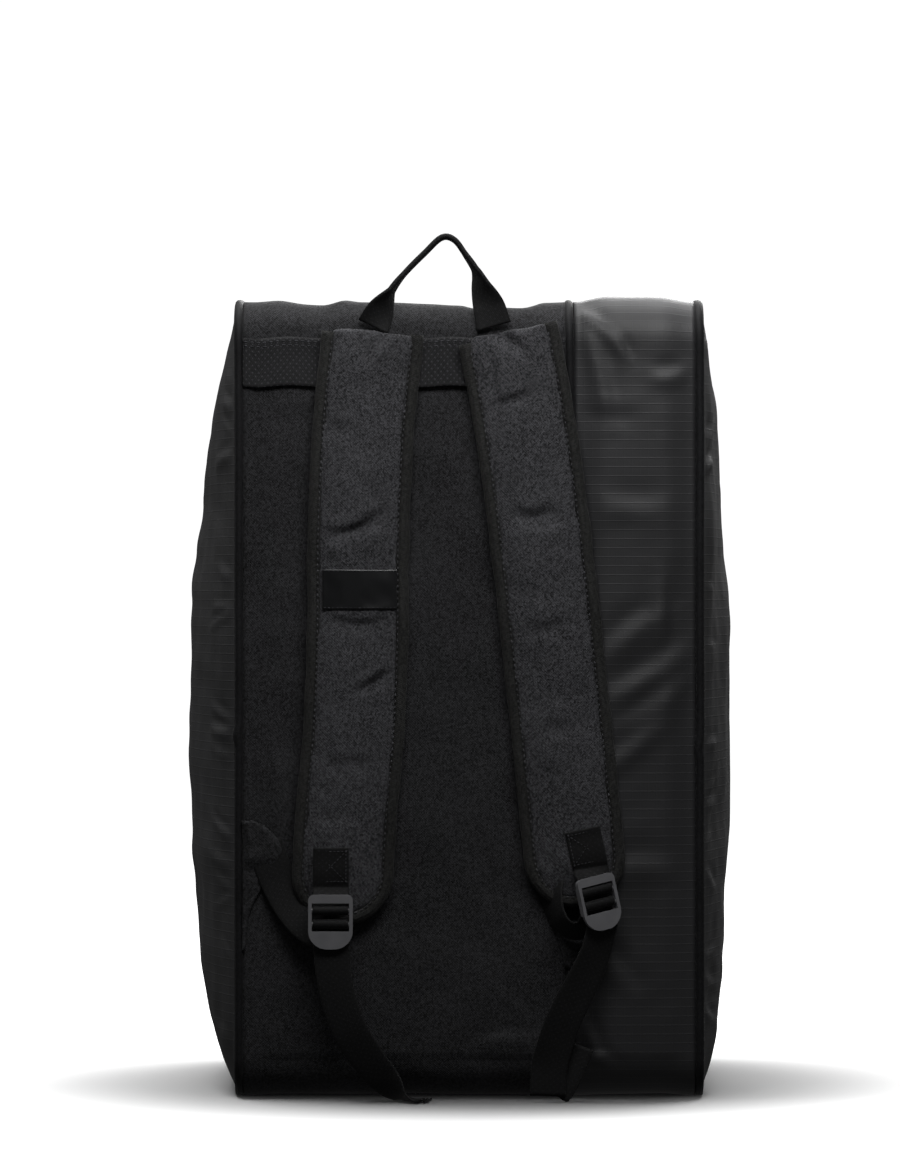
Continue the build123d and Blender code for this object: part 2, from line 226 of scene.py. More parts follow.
# %% [markdown]
# ## Colours and the node helper
# All colours are written as the hex values a paint card would give, and one function turns them to the
# linear light that shaders work in. One more function adds a node, sets it and links it, for materials and
# for Geometry Nodes alike. Every finish ends the same way, so a last function plugs its three maps in.

# %% Node helper
def colour(code):
    """Linear RGBA from an sRGB hex value."""
    parts = [int(code[k:k + 2], 16) / 255 for k in (1, 3, 5)]
    return (*[c / 12.92 if c <= 0.04045 else ((c + 0.055) / 1.055) ** 2.4 for c in parts], 1.0)


def add(tree, kind, inputs=None, **settings):
    """Adds a node. A value in inputs is either a plain value or another node's output socket."""
    made = tree.nodes.new(kind)
    for key, value in settings.items():
        setattr(made, key, value)
    for key, value in (inputs or {}).items():
        if isinstance(value, bpy.types.NodeSocket):
            tree.links.new(value, made.inputs[key])
        else:
            made.inputs[key].default_value = value
    return made


def new_material(name, **shader):
    """A material with one Principled shader. Its uniform values are set on the shader's own sockets."""
    made = bpy.data.materials.new(name)
    made.use_nodes = True
    made.node_tree.nodes.clear()
    tree = made.node_tree
    bsdf = add(tree, "ShaderNodeBsdfPrincipled", {k.replace("_", " "): v for k, v in shader.items()})
    out = add(tree, "ShaderNodeOutputMaterial", {"Surface": bsdf.outputs[0]})
    bsdf.name = "shader"
    out.name = "out"
    return made, tree, bsdf


def plug(tree, bsdf, tint, shine, bump):
    """Links a finish's colour, roughness and relief to its shader."""
    tree.links.new(tint.outputs["Result"], bsdf.inputs["Base Color"])
    tree.links.new(shine.outputs[0], bsdf.inputs["Roughness"])
    tree.links.new(bump.outputs[0], bsdf.inputs["Normal"])


print("mid grey in linear light:", round(colour("#808080")[0], 3))


# %% [markdown]
# ## Meshes from grids
# Nearly every soft piece here is a grid of points: a panel is a grid that follows the outline, and a strap
# or a piping is a grid that is swept along a path and closed round its section. Each grid carries its own UV
# map, called cloth, laid out in real metres along the threads, so that weaves keep their true size.

# %% Grid and sweep
def grid_piece(name, points, uv, skip=None, closed=False, caps=False, inside=None):
    """A mesh from a grid of points (rows, columns, 3) in millimetres, with uv in millimetres too."""
    rows, columns = points.shape[:2]
    index = np.arange(rows * columns).reshape(rows, columns)
    faces = np.stack([index[:-1, :-1], index[:-1, 1:], index[1:, 1:], index[1:, :-1]], -1).reshape(-1, 4)
    if skip is not None:
        faces = faces[~skip.ravel()]
    faces = faces.tolist()
    if caps:
        faces += [index[0, :-1].tolist(), index[-1, :-1].tolist()[::-1]]
    mesh = bpy.data.meshes.new(name)
    mesh.from_pydata((points.reshape(-1, 3) * MM).tolist(), [], faces)
    corners = np.zeros(len(mesh.loops), int)
    mesh.loops.foreach_get("vertex_index", corners)
    layer = mesh.uv_layers.new(name="cloth")
    layer.data.foreach_set("uv", (uv.reshape(-1, 2) * MM)[corners].astype(np.float32).ravel())
    work = bmesh.new()
    work.from_mesh(mesh)
    bmesh.ops.remove_doubles(work, verts=work.verts, dist=0.00002)
    if closed:
        bmesh.ops.recalc_face_normals(work, faces=work.faces)
    elif inside is not None:
        away = Vector(inside) * MM
        lean = sum(f.calc_area() * f.normal.dot(f.calc_center_median() - away) for f in work.faces)
        if lean < 0:
            bmesh.ops.reverse_faces(work, faces=work.faces)
    work.to_mesh(mesh)
    work.free()
    mesh.shade_smooth()
    piece = bpy.data.objects.new(name, mesh)
    bpy.context.scene.collection.objects.link(piece)
    return piece


def unit(v):
    """Directions of length 1."""
    return v / np.maximum(np.linalg.norm(v, axis=-1, keepdims=True), 1e-9)


def strip_section(width, thickness, steps=5, crown=0.0):
    """A flat strip's section with round edges, as a closed line of (across, out) points."""
    r = thickness / 2
    a = np.linspace(-math.pi / 2, math.pi / 2, steps)
    right = np.stack([width / 2 - r + r * np.cos(a), r * np.sin(a)], 1)
    flat = np.linspace(width / 2 - r, -width / 2 + r, 9)[1:-1]
    top = np.stack([flat, r + crown * (1 - (2 * flat / width) ** 2)], 1)
    bottom = np.stack([-flat, -r - crown * (1 - (2 * flat / width) ** 2)], 1)
    line = np.vstack([right, top, -right, bottom])
    return np.vstack([line, line[:1]])


def sweep(name, path, across, section, loop=False):
    """Sweeps a closed section along a path. Across is the direction of the section's width."""
    path, across = np.array(path, float), np.array(across, float)
    if across.ndim == 1:
        across = np.broadcast_to(across, path.shape)
    if loop:
        path = np.vstack([path, path[:1]])
        across = np.vstack([across, across[:1]])
        way = np.roll(path[:-1], -1, 0) - np.roll(path[:-1], 1, 0)
        way = unit(np.vstack([way, way[:1]]))
    else:
        way = unit(np.gradient(path, axis=0))
    across = unit(across - way * (across * way).sum(1, keepdims=True))
    out = np.cross(way, across)
    if section.ndim == 2:
        section = np.broadcast_to(section, (len(path), *section.shape))
    points = path[:, None] + across[:, None] * section[..., :1] + out[:, None] * section[..., 1:]
    along = np.r_[0, np.cumsum(np.linalg.norm(np.diff(path, axis=0), axis=1))]
    edge = np.r_[0, np.cumsum(np.linalg.norm(np.diff(section[0], axis=0), axis=1))]
    uv = np.stack(np.broadcast_arrays(along[:, None], edge[None, :]), -1)
    return grid_piece(name, points, uv, closed=True, caps=not loop)


def finish_piece(piece, material, body, slot, *nodes):
    """Gives a piece its finish and its body, and hides the CAD nodes that it stands for. Slot is not used."""
    piece.data.materials.clear()
    piece.data.materials.append(material)
    if body:
        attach(piece, body)
    if nodes:
        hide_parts(*nodes)
    return piece


def thicken(piece, thickness, offset=-1.0):
    """Gives a sheet its wall, towards its inner side unless offset says otherwise."""
    wall = piece.modifiers.new("Wall", "SOLIDIFY")
    wall.thickness = thickness * MM
    wall.offset = offset
    return piece


def line_inside(piece):
    """The wall's inner face is lining cloth instead of the outer cloth."""
    piece.data.materials.append(lining_cloth)
    piece.modifiers["Wall"].material_offset = 1


def twisted(path, turns):
    """A strip's width direction along its path, leaned out of the path's own plane by turns in degrees."""
    way = unit(np.gradient(path, axis=0))
    flat = unit(np.cross(way, (0, 1, 0)))
    share = np.linspace(0, 1, len(path))
    lean = np.radians(np.interp(share, np.linspace(0, 1, len(turns)), turns))[:, None]
    return flat * np.cos(lean) + np.cross(way, flat) * np.sin(lean)


def upright_grid(low, high, columns, rows, side=0):
    """Places of an even upright grid between two corners: X and Z, or Y and Z when side is 1."""
    return np.meshgrid(np.linspace(low[side], high[side], columns), np.linspace(low[2], high[2], rows))


# %% [markdown]
# ## Rows of stitches and teeth
# A stitch line is one small thread loop repeated at an even pitch, and a zip's coil is the same idea with a
# wider part. Geometry Nodes does both with one tree: it cuts a line to even steps, puts a part on each and
# turns it along the line. The line is only a few edges, so a row can be moved without counting stitches.

# %% Geometry Nodes row
def build_row_tree():
    """A tree that puts one small part at each step of a line."""
    tree = bpy.data.node_groups.new("row_of_parts", "GeometryNodeTree")
    kinds = {"Geometry": "Geometry", "Pitch": "Float", "Size": "Vector", "Facing": "Vector",
             "Material": "Material"}
    for label, kind in kinds.items():
        tree.interface.new_socket(label, in_out="INPUT", socket_type="NodeSocket" + kind)
    tree.interface.new_socket("Geometry", in_out="OUTPUT", socket_type="NodeSocketGeometry")
    given = add(tree, "NodeGroupInput")
    line = add(tree, "GeometryNodeMeshToCurve", {"Mesh": given.outputs["Geometry"]})
    steps = add(tree, "GeometryNodeResampleCurve",
                {"Curve": line.outputs[0], "Length": given.outputs["Pitch"]}, mode="LENGTH")
    part = add(tree, "GeometryNodeMeshIcoSphere", {"Radius": 0.5, "Subdivisions": 1})
    tangent = add(tree, "GeometryNodeInputTangent")
    turned = add(tree, "FunctionNodeAlignRotationToVector", {"Vector": tangent.outputs[0]}, axis="X")
    faced = add(tree, "FunctionNodeAlignRotationToVector",
                {"Rotation": turned.outputs[0], "Vector": given.outputs["Facing"]}, axis="Z", pivot_axis="X")
    placed = add(tree, "GeometryNodeInstanceOnPoints",
                 {"Points": steps.outputs[0], "Instance": part.outputs[0], "Rotation": faced.outputs[0],
                  "Scale": given.outputs["Size"]})
    real = add(tree, "GeometryNodeRealizeInstances", {"Geometry": placed.outputs[0]})
    smooth = add(tree, "GeometryNodeSetShadeSmooth", {"Geometry": real.outputs[0]})
    coloured = add(tree, "GeometryNodeSetMaterial",
                   {"Geometry": smooth.outputs[0], "Material": given.outputs["Material"]})
    add(tree, "NodeGroupOutput", {"Geometry": coloured.outputs[0]})
    return tree


row_tree = build_row_tree()


def row_of_parts(name, lines, pitch, size, material, body, facing=(0, -1, 0)):
    """Parts of one size in millimetres, at an even pitch along each line of points."""
    points, edges = [], []
    for line in lines:
        first = len(points)
        points += [tuple(p) for p in np.array(line) * MM]
        edges += [(k, k + 1) for k in range(first, len(points) - 1)]
    mesh = bpy.data.meshes.new(name)
    mesh.from_pydata(points, edges, [])
    guide = bpy.data.objects.new(name + "_guide", mesh)
    bpy.context.scene.collection.objects.link(guide)
    rows = guide.modifiers.new("Rows", "NODES")
    rows.node_group = row_tree
    sockets = {s.name: s.identifier for s in row_tree.interface.items_tree if s.in_out == "INPUT"}
    values = {"Pitch": pitch * MM, "Size": [v * MM for v in size], "Facing": list(facing),
              "Material": material}
    for label, value in values.items():
        rows[sockets[label]] = value
    bpy.context.view_layer.update()
    made = bpy.data.meshes.new_from_object(guide.evaluated_get(bpy.context.evaluated_depsgraph_get()))
    bpy.data.objects.remove(guide)
    piece = bpy.data.objects.new(name, made)
    bpy.context.scene.collection.objects.link(piece)
    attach(piece, body)
    print(name, "has", len(made.polygons), "faces")
    return piece


# %% [markdown]
# ## Woven finishes
# Most of the bag is polyester cloth. A plain weave is threads that pass over and under each other, so its
# surface is a chequer of small bumps. One function makes that chequer at a real thread spacing. It adds
# slubs, which are short thick stretches of thread, as small cells of random shade, and slow patches of wear
# and dust. Canvas, lining and tapes share it.

# %% Plain weaves
def chequer(tree, place, sharpness):
    """Staggered bumps, two for each unit of place: high where both waves are high or both are low."""
    waves = [add(tree, "ShaderNodeTexWave", {"Vector": place, "Scale": math.pi / 10},
                 bands_direction=way).outputs["Fac"] for way in "XY"]
    both = add(tree, "ShaderNodeMath", {0: waves[0], 1: waves[1]}, operation="MULTIPLY")
    either = add(tree, "ShaderNodeMath", {0: waves[0], 1: waves[1]}, operation="ADD")
    twice = add(tree, "ShaderNodeMath", {0: both.outputs[0], 1: 2.0, 2: 1.0}, operation="MULTIPLY_ADD")
    same = add(tree, "ShaderNodeMath", {0: twice.outputs[0], 1: either.outputs[0]}, operation="SUBTRACT")
    return add(tree, "ShaderNodeMath", {0: same.outputs[0], 1: sharpness}, operation="POWER").outputs[0]


def thread_place(tree, across_mm, along_mm, on_object=False):
    """The cloth's place in threads, from its UV map or, on a piece without one, from its own X and Z."""
    if on_object:
        own = add(tree, "ShaderNodeTexCoord").outputs["Object"]
        split = add(tree, "ShaderNodeSeparateXYZ", {0: own})
        side = add(tree, "ShaderNodeMath", {0: split.outputs[0], 1: split.outputs[1]}, operation="ADD")
        flat = add(tree, "ShaderNodeCombineXYZ", {0: side.outputs[0], 1: split.outputs[2]})
    else:
        flat = add(tree, "ShaderNodeUVMap", uv_map="cloth")
    scale = (1000 / across_mm, 1000 / along_mm, 1.0)
    return add(tree, "ShaderNodeMapping", {"Vector": flat.outputs[0], "Scale": scale}).outputs[0]


slub_mm = 1.0


def woven(name, low, high, thread_mm, rough, depth_mm, speckle=0.8, on_object=False, along_mm=None,
          level=0.14):
    """A woven cloth between two colours. Speckle is how much of the change comes from slubs and lint."""
    made, tree, bsdf = new_material(
        name, Sheen_Weight=0.05, Sheen_Roughness=0.45, Specular_IOR_Level=level, IOR=1.5)
    bumps = chequer(tree, thread_place(tree, thread_mm * 2, (along_mm or thread_mm) * 2, on_object), 1.0)
    uneven = add(tree, "ShaderNodeTexVoronoi", {
        "Vector": thread_place(tree, slub_mm, slub_mm, on_object), "Scale": 1.0, "Randomness": 1.0})
    slubs = add(tree, "ShaderNodeMapRange", {
        "Value": uneven.outputs["Color"], "From Min": 0.1, "From Max": 0.9})
    own = add(tree, "ShaderNodeTexCoord").outputs["Object"]
    worn = add(tree, "ShaderNodeTexNoise", {"Vector": own, "Scale": 16.0, "Detail": 4.0, "Roughness": 0.6})
    mix = add(tree, "ShaderNodeMix", {"Factor": speckle, "A": bumps, "B": slubs.outputs[0]})
    light = add(tree, "ShaderNodeMath", {0: worn.outputs["Fac"], 1: 0.5, 2: mix.outputs[0]},
                operation="MULTIPLY_ADD")
    spread = add(tree, "ShaderNodeMapRange", {"Value": light.outputs[0], "From Min": 0.25, "From Max": 1.25})
    tint = add(tree, "ShaderNodeMix", {"Factor": spread.outputs[0], "A": colour(low), "B": colour(high)},
               data_type="RGBA")
    shine = add(tree, "ShaderNodeMapRange", {
        "Value": worn.outputs["Fac"], "To Min": rough + 0.06, "To Max": rough - 0.06})
    bump = add(tree, "ShaderNodeBump", {"Height": bumps, "Distance": depth_mm * MM, "Strength": 0.35})
    plug(tree, bsdf, tint, shine, bump)
    return made


# 600-denier polyester canvas is matt and slightly dusty. Its 0.5 mm threads are drawn at 0.9 mm so they show.
canvas = woven("polyester_canvas_600d", "#080808", "#323234", 0.9, 0.86, 0.55)
# The same canvas on the pads, with painted light: its colours are lighter than the panel's because the pads
# face the light and stand nearer to it.
pad_canvas_painted_lighter = woven("pad_canvas_600d_painted_lighter", "#0c0c0d", "#48484b", 0.9, 0.84, 0.60)
# Grosgrain is a dull tape with close ribs across it.
binding_tape = woven("grosgrain_binding", "#050505", "#30302f", 0.7, 0.78, 0.40, speckle=0.6, along_mm=1.4)
# Cloth cut on the bias and pulled tight over a cord is smooth, so it has thin lights along its round edge.
piping_cloth = woven("bias_cut_piping_cloth", "#030304", "#161618", 0.8, 0.66, 0.18, level=0.16)
# Zip tape is a fine twill, even and without slubs.
zip_tape_cloth = woven("twill_zip_tape", "#0c0c0d", "#222224", 0.7, 0.80, 0.20, speckle=0.35, on_object=True)
# Lining is thin, lighter and a little slippery.
lining_cloth = woven("polyester_lining_210d", "#26272a", "#3c3e43", 0.8, 0.62, 0.12)
# Knitted mesh shows its open, regular loops.
mesh_cloth = woven("knitted_mesh", "#08080a", "#36363a", 1.6, 0.75, 0.6, speckle=0.15)
# Satin has long floats that lie flat, so it shines.
label_satin = woven("satin_label", "#060607", "#101113", 0.5, 0.34, 0.05, speckle=0.3, level=0.4)
# Bonded nylon thread is round and slightly waxy, and it is lighter than the cloth.
thread = woven("bonded_nylon_thread", "#1b1b1d", "#4c4c50", 0.5, 0.5, 0.08, on_object=True)
print("weaves:", ", ".join(m.name for m in bpy.data.materials))

# %% [markdown]
# ## Webbing
# The tails, the handle and the anchor band are heavy polypropylene webbing. It is woven in ribs with a row of
# small staggered floats, where a thread passes over several others and catches the light. The rows are about
# 4.4 mm apart along the band and 5 mm across it.

# %% Webbing finish
def webbing_finish(name, low, high, float_light, depth_mm=0.35):
    """Ribbed webbing between two colours, with small floats in a third."""
    made, tree, bsdf = new_material(
        name, Sheen_Weight=0.04, Sheen_Roughness=0.4, Specular_IOR_Level=0.2, IOR=1.49)
    floats = chequer(tree, thread_place(tree, 4.4, 5.0), 9.0)
    ribs = chequer(tree, thread_place(tree, 1.5, 1.0), 1.0)
    uneven = add(tree, "ShaderNodeTexNoise", {
        "Vector": thread_place(tree, 2.0, 2.0), "Scale": 1.0, "Detail": 2.0})
    body = add(tree, "ShaderNodeMix", {"Factor": 0.5, "A": ribs, "B": uneven.outputs["Fac"]})
    height = add(tree, "ShaderNodeMath", {0: floats, 1: 0.35, 2: body.outputs[0]}, operation="MULTIPLY_ADD")
    tint = add(tree, "ShaderNodeMix", {"Factor": body.outputs[0], "A": colour(low), "B": colour(high)},
               data_type="RGBA")
    lit = add(tree, "ShaderNodeMix", {
        "Factor": floats, "A": tint.outputs["Result"], "B": colour(float_light)}, data_type="RGBA")
    shine = add(tree, "ShaderNodeMapRange", {"Value": height.outputs[0], "To Min": 0.78, "To Max": 0.58})
    bump = add(tree, "ShaderNodeBump", {
        "Height": height.outputs[0], "Distance": depth_mm * MM, "Strength": 0.9})
    plug(tree, bsdf, lit, shine, bump)
    return made


# Polypropylene takes no dye, so black webbing is deep black with faint lights on its floats.
webbing = webbing_finish("ribbed_polypropylene_webbing", "#010101", "#101011", "#171719")
band_webbing = webbing_finish("anchor_band_webbing", "#010101", "#272729", "#3c3c3f", 0.7)
print("woven finishes:", len(bpy.data.materials))

# %% [markdown]
# ## Coated ripstop
# The racket side and both side panels are ripstop: a thin cloth with a thicker thread every few millimetres,
# which stops a tear from running. A coating fills the weave and gives it a soft, wet shine. So it is smoother
# than canvas, with a faint grid of ribs and many tiny wrinkles that break up the highlight.

# %% Ripstop finish
rib_across_mm, rib_along_mm = 5.6, 6.3


def ripstop_finish(name, low, high, rough):
    """Coated ripstop between two colours."""
    made, tree, bsdf = new_material(
        name, Specular_IOR_Level=0.42, IOR=1.5, Coat_Weight=0.04, Coat_Roughness=0.45)
    place = thread_place(tree, rib_across_mm, rib_along_mm)
    lines = []
    for way, thinness in (("X", 42.0), ("Y", 30.0)):
        wave = add(tree, "ShaderNodeTexWave", {"Vector": place, "Scale": math.pi / 10, "Distortion": 0.12},
                   bands_direction=way)
        lines.append(add(tree, "ShaderNodeMath", {0: wave.outputs["Fac"], 1: thinness}, operation="POWER"))
    faint = add(tree, "ShaderNodeMath", {0: lines[0].outputs[0], 1: 0.4}, operation="MULTIPLY")
    ribs = add(tree, "ShaderNodeMath", {0: faint.outputs[0], 1: lines[1].outputs[0]}, operation="MAXIMUM")
    weave = chequer(tree, thread_place(tree, 1.6, 1.6), 1.0)
    own = add(tree, "ShaderNodeTexCoord").outputs["Object"]
    creased = add(tree, "ShaderNodeTexNoise", {
        "Vector": own, "Scale": 70.0, "Detail": 4.0, "Roughness": 0.55, "Distortion": 0.5})
    patchy = add(tree, "ShaderNodeTexNoise", {"Vector": own, "Scale": 11.0, "Detail": 3.0})
    ribbed = add(tree, "ShaderNodeMath", {0: ribs.outputs[0], 1: 0.8}, operation="MULTIPLY")
    fine = add(tree, "ShaderNodeMath", {0: weave, 1: 0.22, 2: ribbed.outputs[0]}, operation="MULTIPLY_ADD")
    relief = add(tree, "ShaderNodeBump", {"Height": fine.outputs[0], "Distance": 0.00016, "Strength": 0.7})
    crumple = add(tree, "ShaderNodeBump", {
        "Height": creased.outputs["Fac"], "Distance": 0.0004, "Strength": 0.4, "Normal": relief.outputs[0]})
    mix = add(tree, "ShaderNodeMath", {0: ribs.outputs[0], 1: 0.26, 2: patchy.outputs["Fac"]},
              operation="MULTIPLY_ADD")
    tint = add(tree, "ShaderNodeMix", {"Factor": mix.outputs[0], "A": colour(low), "B": colour(high)},
               data_type="RGBA")
    shine = add(tree, "ShaderNodeMapRange", {
        "Value": patchy.outputs["Fac"], "To Min": rough + 0.08, "To Max": rough - 0.08})
    plug(tree, bsdf, tint, shine, crumple)
    return made


# The coating evens out the weave, so the eye sees folds first and the grid of ribs second.
ripstop = ripstop_finish("coated_ripstop_nylon", "#0c0c0d", "#262628", 0.58)
print("made", ripstop.name)

# %% [markdown]
# ## Plastic, metal, foil and board
# The buckles are moulded acetal, dark grey with a satin face. The sliders are zinc with black paint, and the
# pulls are soft moulded plastic. Foil and board are inside. Each gets fine noise in its roughness and bump,
# because no moulded or painted face is perfectly even.

# %% Hard finishes
def moulded(name, low, high, rough, grain_mm, depth_mm, **shader):
    """A hard finish between two colours, with grain of a given size and depth."""
    made, tree, bsdf = new_material(name, **shader)
    own = add(tree, "ShaderNodeTexCoord").outputs["Object"]
    grain = add(tree, "ShaderNodeTexNoise", {"Vector": own, "Scale": 1000 / grain_mm, "Detail": 3.0})
    slow = add(tree, "ShaderNodeTexNoise", {"Vector": own, "Scale": 60.0, "Detail": 2.0})
    tint = add(tree, "ShaderNodeMix", {"Factor": slow.outputs["Fac"], "A": colour(low), "B": colour(high)},
               data_type="RGBA")
    shine = add(tree, "ShaderNodeMapRange", {
        "Value": slow.outputs["Fac"], "To Min": rough + 0.05, "To Max": rough - 0.05})
    bump = add(tree, "ShaderNodeBump", {
        "Height": grain.outputs["Fac"], "Distance": depth_mm * MM, "Strength": 0.5})
    plug(tree, bsdf, tint, shine, bump)
    return made


# Acetal is slippery and slightly waxy, with a clear satin light along its edges.
acetal = moulded("satin_acetal", "#505052", "#6a6a6d", 0.24, 0.5, 0.03, Specular_IOR_Level=0.8, IOR=1.48)
# Paint on cast zinc leaves a thin clear skin over a dull metal.
painted_zinc = moulded("black_painted_zinc", "#161617", "#222224", 0.38, 0.4, 0.02, Metallic=0.6,
                       Coat_Weight=0.3, Coat_Roughness=0.25)
# Soft pulls are matt, as rubber is.
soft_pull = moulded("soft_moulded_pull", "#151516", "#222223", 0.58, 0.6, 0.05, IOR=1.5)
# The coil is drawn nylon wire, smooth and half matt.
coil_nylon = moulded("nylon_coil", "#121213", "#202022", 0.42, 0.3, 0.02, IOR=1.53)
# Foil on foam is bright, with crumples about 9 mm wide.
foil = moulded("crumpled_thermal_foil", "#a9acb0", "#cfd2d4", 0.30, 9.0, 1.2, Metallic=0.9)
# Board is pressed fibre, matt and slightly brown.
board = moulded("fibre_board", "#2b2a29", "#3a3836", 0.85, 1.5, 0.10, IOR=1.5)
print("finishes:", len(bpy.data.materials))

# %% [markdown]
# ## A studio for black cloth
# Black cloth is hard to light: with flat light it is a hole, and with a small hard light it glares. Here a
# large soft light overhead draws the shadow on the floor, and soft lights near the bag reach only the bag,
# as if flags held them off the floor. The floor curves up into a round white wall, so that every side has a
# clean background. It glows more with distance from the bag, so it is white everywhere but under the bag's
# edge. The camera is far away with a long lens.

# %% Stage and lights
floor_reach, cove, wall_top = 4500, 1500, 9000
glow_start, glow_full = 0.15, 0.34


def round_wall():
    """A floor that curves up into a wall on every side."""
    arc = np.radians(np.linspace(-90, 0, 17))
    profile = [(0, 0), (600, 0), (1200, 0), (2400, 0), (floor_reach, 0)]
    profile += [(floor_reach + cove * math.cos(a), cove + cove * math.sin(a)) for a in arc[1:]]
    profile += [(floor_reach + cove, wall_top)]
    turn = np.linspace(0, 2 * math.pi, 97)
    points = np.array([[(r * math.cos(t), r * math.sin(t), z) for r, z in profile] for t in turn])
    piece = grid_piece("seamless_round_wall", points, points[..., :2])
    made, tree, bsdf = new_material("matt_white_paper", Roughness=0.9, Specular_IOR_Level=0.1,
                                    Emission_Color=colour("#ffffff"))
    own = add(tree, "ShaderNodeTexCoord").outputs["Object"]
    fibre = add(tree, "ShaderNodeTexNoise", {"Vector": own, "Scale": 3.0, "Detail": 2.0})
    tint = add(tree, "ShaderNodeMix", {"Factor": fibre.outputs["Fac"], "A": colour("#f6f6f6"),
                                       "B": colour("#fafafa")}, data_type="RGBA")
    oval = add(tree, "ShaderNodeMapping", {"Vector": own, "Scale": (0.75, 1.0, 1.0)})
    far = add(tree, "ShaderNodeVectorMath", {0: oval.outputs[0]}, operation="LENGTH")
    glow = add(tree, "ShaderNodeMapRange", {
        "Value": far.outputs["Value"], "From Min": glow_start, "From Max": glow_full, "To Min": 0.0,
        "To Max": 0.95}, interpolation_type="SMOOTHSTEP")
    tree.links.new(tint.outputs["Result"], bsdf.inputs["Base Color"])
    tree.links.new(glow.outputs[0], bsdf.inputs["Emission Strength"])
    piece.data.materials.append(made)
    piece.visible_glossy = False
    piece.visible_diffuse = False
    piece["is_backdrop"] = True


def area_light(name, place, aim, size, power):
    """A soft rectangular light, in metres and watts, turned from its place to its aim."""
    data = bpy.data.lights.new(name, "AREA")
    data.shape = "RECTANGLE"
    data.size, data.size_y = size
    data.energy = power
    lamp = bpy.data.objects.new(name, data)
    lamp.visible_camera = False
    lamp.location = place
    lamp.rotation_euler = (Vector(aim) - Vector(place)).to_track_quat("-Z", "Y").to_euler()
    bpy.context.scene.collection.objects.link(lamp)
    return lamp


round_wall()
area_light("overhead_softbox", (-0.05, 0.5, 2.5), (0.0, 0.4, 0.0), (2.6, 1.0), 68)
near_lights = [
    area_light("near_softbox", (0.10, -0.72, 1.08), (0.06, -0.1, 0.46), (0.8, 0.30), 9.0),
    area_light("left_fill", (-2.2, 1.1, 1.3), (0.0, 0.0, 0.35), (0.8, 1.4), 5),
    area_light("right_fill", (2.2, 1.8, 1.3), (0.0, 0.0, 0.35), (0.8, 1.4), 3),
    area_light("door_side_softbox", (0.5, 2.4, 1.7), (0.0, 0.15, 0.30), (1.6, 1.0), 70),
]
world = bpy.data.worlds.new("soft_room")
bpy.context.scene.world = world
world.use_nodes = True
sky = world.node_tree.nodes["Background"]
sky.inputs["Color"].default_value = colour("#ffffff")
sky.inputs["Strength"].default_value = 0.08
bpy.context.scene.view_settings.view_transform = "Standard"

camera_distance, camera_side, camera_height = 3.3, -0.007, 0.358
camera_data = bpy.data.cameras.new("long_lens")
camera_data.lens = 144.3
camera = bpy.data.objects.new("camera", camera_data)
camera.location = (camera_side, y_back * MM - camera_distance, camera_height)
camera.rotation_euler = (math.radians(90), 0, 0)
bpy.context.scene.collection.objects.link(camera)
bpy.context.scene.camera = camera
print("camera", camera_distance, "m away")

# %% [markdown]
# ## The shell between the pipings
# The main compartment is canvas and the racket compartment is ripstop. Each is one band of cloth round the
# outline, cut into panels that are sewn end to end. All panels of a band share one lift function, which says
# how far the cloth stands off the pattern at a place, so their edges meet. Foam holds the back nearly flat,
# the top sags where the handle pulls, and the thin ripstop puffs out and creases.

# %% Lift of the two bands
main_x = (seam["left"] + piping_half, seam["middle"] - piping_half)
racket_x = (seam["middle"] + piping_half, seam["right"] - piping_half)
back_fold_s = corner["back_bottom"]


def near_edge(x, edges, reach):
    """0 at a band's two edges, and 1 from reach on."""
    return smoothstep(np.minimum(x - edges[0], edges[1] - x), 0, reach)


def around(s, start, end, fade):
    """1 between two arc lengths, and 0 away from them."""
    return smoothstep(s, start - fade, start + fade) * (1 - smoothstep(s, end - fade, end + fade))


# Each crease has its start, middle and end in X and Z, its width and its height.
canvas_creases = [
    ((10, 37), (30, 45), (54, 40), 4.5, 1.6), ((24, 82), (38, 64), (50, 54), 4, 1.0),
    ((-140, 470), (-100, 486), (-30, 480), 7, -1.1), ((-135, 262), (-128, 215), (-120, 168), 7, 1.3),
]
ripstop_creases = [
    ((82, 556), (93, 545), (108, 530), 4.5, 2.8), ((108, 532), (113, 526), (116, 515), 3.5, 1.8),
    ((84, 548), (96, 520), (104, 470), 6.0, 2.0), ((84, 479), (105, 476), (128, 477), 7.0, -0.9),
    ((139, 368), (141, 340), (138, 312), 6.0, 1.7), ((100, 305), (120, 328), (142, 340), 8.0, 2.0),
    ((102, 276), (132, 290), (166, 318), 8.5, 2.4), ((113, 254), (140, 272), (166, 301), 8.5, 2.2),
    ((96, 226), (122, 242), (150, 272), 7.0, 1.8), ((92, 420), (120, 405), (150, 415), 9.0, 1.2),
    ((94, 152), (118, 166), (150, 160), 9.0, 1.5), ((88, 26), (98, 34), (106, 24), 3.5, 1.6),
    ((84, 60), (92, 40), (101, 20), 4.0, 1.5), ((130, 508), (146, 500), (160, 510), 6.0, 1.6),
    ((92, 106), (108, 92), (120, 70), 7.0, 1.3),
]


